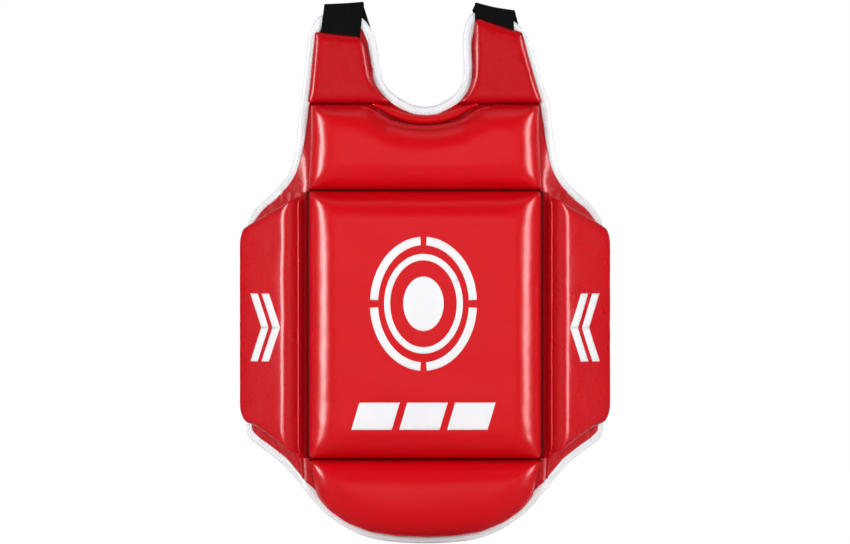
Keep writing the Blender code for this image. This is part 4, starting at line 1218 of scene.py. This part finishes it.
def arc_band(shells, inner, outer, start, end, steps):
    """Elliptical band round the mark's centre; inner and outer are (x, z) radii."""
    angle = np.linspace(start, end, steps)[:, None]
    t = np.linspace(0, 1, 4)[None]
    x = MARK_X + (inner[0] + (outer[0] - inner[0]) * t) * np.cos(angle)
    z = MARK_Z + (inner[1] + (outer[1] - inner[1]) * t) * np.sin(angle)
    shells.sheet(*on_pad("belly_pad", x, z))


def slanted_bar(shells, pad_name, x, z, width, shift, rise, rows, cols):
    """Parallelogram from corner (x, z); its far side is moved by (shift, rise)."""
    u, v = np.meshgrid(np.linspace(0, 1, rows), np.linspace(0, 1, cols), indexing="ij")
    shells.sheet(*on_pad(pad_name, x + width * u + shift * v, z + rise * v))


def belly_mark():
    """A ring in four arcs, a full ring and a disc, all elliptical."""
    shells = Shells()
    gap = 0.06
    for quarter in range(4):
        start = quarter * math.pi / 2 + gap
        arc_band(shells, (0.0450, 0.0580), (0.0530, 0.0665), start,
                 start + math.pi / 2 - 2 * gap, steps=30)
    arc_band(shells, (0.0330, 0.0430), (0.0390, 0.0495), 0.5, 0.51 + 2 * math.pi, steps=110)
    u, v = np.meshgrid(np.linspace(-1, 1, 21), np.linspace(-1, 1, 21), indexing="ij")
    shells.sheet(*on_pad("belly_pad", MARK_X + 0.0200 * u * np.sqrt(1 - v ** 2 / 2),
                         MARK_Z + 0.0270 * v * np.sqrt(1 - u ** 2 / 2)))
    shells.make("mark_belly", PRINT, "binding", body="belly")


def bar_marks():
    """Three slanted bars below the round mark."""
    shells = Shells()
    for i in range(3):
        slanted_bar(shells, "belly_pad", -0.0730 + 0.0475 * i, 0.1140, width=0.0400,
                    shift=0.008, rise=0.0270, rows=16, cols=11)
    shells.make("mark_bars", PRINT, "binding", body="belly")


def wing_mark(tag):
    """Two chevrons that point at the fold."""
    shells = Shells()
    for out in (0.0130, 0.0310):
        for up in (1, -1):
            slanted_bar(shells, "wing_pad_" + tag, out, 0.2150, width=0.0115, shift=0.0170,
                        rise=up * 0.034, rows=6, cols=14)
    shells.make("mark_wing_" + tag, PRINT, "binding", body="wing_" + tag)


# ---------------------------------------------------------------- studio
def area(name, place, width, height, watts, aim_z=0.27, diffuse=True, glossy=True):
    """Rectangular light aimed at the product's middle axis."""
    light = bpy.data.lights.new(name, "AREA")
    light.shape = "RECTANGLE"
    light.size, light.size_y = width, height
    light.energy = watts
    ob = bpy.data.objects.new(name, light)
    ob.location = place
    aim = Vector((0, 0, aim_z)) - Vector(place)
    ob.rotation_euler = aim.to_track_quat("-Z", "Y").to_euler()
    scene.collection.objects.link(ob)
    ob.visible_diffuse = diffuse
    ob.visible_glossy = glossy


def lights():
    area("box_left", (-1.30, -0.80, 0.40), width=0.36, height=1.5, watts=16)
    area("box_right", (1.30, -0.80, 0.40), width=0.36, height=1.5, watts=16)
    area("gloss_left", (-1.45, -0.56, 0.45), width=0.50, height=1.5, watts=54, diffuse=False)
    area("gloss_right", (1.45, -0.56, 0.45), width=0.50, height=1.5, watts=36, diffuse=False)
    area("fill_front", (0.0, -2.8, 0.36), width=1.8, height=1.2, watts=33, aim_z=0.24,
         glossy=False)
    area("top", (0.0, -0.3, 2.2), width=1.4, height=1.0, watts=3)
    area("back_left", (-1.0, 1.6, 0.9), width=0.8, height=1.2, watts=13, glossy=False)
    area("back_right", (1.0, 1.6, 0.9), width=0.8, height=1.2, watts=13, glossy=False)
    area("back_gloss", (0.3, 2.2, 1.5), width=0.7, height=0.7, watts=3)
    area("fill_back", (0.0, 2.6, 1.3), width=1.8, height=1.2, watts=16, aim_z=0.25,
         glossy=False)


def white_world():
    """White to the camera, a faint glow to everything else."""
    world = bpy.data.worlds.new("studio")
    scene.world = world
    world.use_nodes = True
    nodes, link = world.node_tree.nodes, world.node_tree.links.new
    glow = nodes["Background"]
    seen = nodes.new("ShaderNodeBackground")
    for node, strength in ((glow, 0.06), (seen, 1.0)):
        node.inputs["Color"].default_value = (1, 1, 1, 1)
        node.inputs["Strength"].default_value = strength
    rays = nodes.new("ShaderNodeLightPath")
    mix = nodes.new("ShaderNodeMixShader")
    link(rays.outputs["Is Camera Ray"], mix.inputs["Fac"])
    link(glow.outputs[0], mix.inputs[1])
    link(seen.outputs[0], mix.inputs[2])
    link(mix.outputs[0], nodes["World Output"].inputs["Surface"])


def floor_material():
    """Pale and matt, dark in reflections, and nearly all glow to the camera."""
    mat = bpy.data.materials.new("floor_pale")
    mat.use_nodes = True
    nodes, link = mat.node_tree.nodes, mat.node_tree.links.new
    bsdf = nodes["Principled BSDF"]
    bsdf.inputs["Roughness"].default_value = 0.9
    bsdf.inputs["Specular IOR Level"].default_value = 0.0
    rays = nodes.new("ShaderNodeLightPath")
    colour = nodes.new("ShaderNodeMix")
    colour.data_type = "RGBA"
    colour.inputs[6].default_value = (0.8, 0.8, 0.8, 1)
    colour.inputs[7].default_value = (0.12, 0.12, 0.12, 1)
    link(rays.outputs["Is Glossy Ray"], colour.inputs[0])
    link(colour.outputs[2], bsdf.inputs["Base Color"])
    glow = nodes.new("ShaderNodeEmission")
    glow.inputs["Strength"].default_value = 1.04
    camera_rays = nodes.new("ShaderNodeLightPath")
    share = nodes.new("ShaderNodeMath")
    share.operation = "MULTIPLY"
    share.inputs[1].default_value = 0.96
    link(camera_rays.outputs["Is Camera Ray"], share.inputs[0])
    mix = nodes.new("ShaderNodeMixShader")
    link(share.outputs[0], mix.inputs["Fac"])
    link(bsdf.outputs[0], mix.inputs[1])
    link(glow.outputs[0], mix.inputs[2])
    link(mix.outputs[0], nodes["Material Output"].inputs["Surface"])
    return mat


def floor():
    mat = floor_material()
    half, z = 60, -0.0008
    mesh = bpy.data.meshes.new("floor")
    mesh.from_pydata([(-half, -half, z), (half, -half, z), (half, half, z), (-half, half, z)],
                     [], [(0, 1, 2, 3)])
    ob = bpy.data.objects.new("floor", mesh)
    scene.collection.objects.link(ob)
    mesh.materials.append(mat)


def front_camera():
    lens = bpy.data.cameras.new("camera")
    lens.sensor_width = 36
    lens.lens = 253.0
    camera = bpy.data.objects.new("camera", lens)
    camera.location = (0, -6.0, 0.2705)
    camera.rotation_euler = (math.radians(90), 0, 0)
    scene.collection.objects.link(camera)
    scene.camera = camera
    scene.view_settings.view_transform = "Standard"


# ---------------------------------------------------------------- build
all_pads()
belly_sheets()
lower_sheets()
chest_sheets()
for side, tag in SIDES:
    shoulder_sheets(side, tag)
    wing_sheets(side, tag)
for side, tag in SIDES:
    wing_fold(side, tag)
groove("chest", Z_CHEST, up=1)
groove("lower", Z_LOWER, up=-1)
for side, tag in SIDES:
    tab_fold(side, tag)
for side, tag in SIDES:
    hip(side, tag)
all_bindings()
for side, tag in SIDES:
    shoulder_strap(side, tag)
for side, tag in SIDES:
    strap_flap(side, tag)
for side, tag in SIDES:
    waist_belt(side, tag)
repaint(("belt_hook_patch", "belt_loop_patch"), HOOK)
for side, tag in SIDES:
    bridge("neck_bridge_", NECK_BRIDGE, side, tag, x_blend=0.0150)
    bridge("armhole_bridge_", ARMHOLE_BRIDGE, side, tag, x_blend=0.1235)
all_ridges()
neck_roll()
belly_mark()
bar_marks()
for side, tag in SIDES:
    wing_mark(tag)
lights()
white_world()
floor()
front_camera()
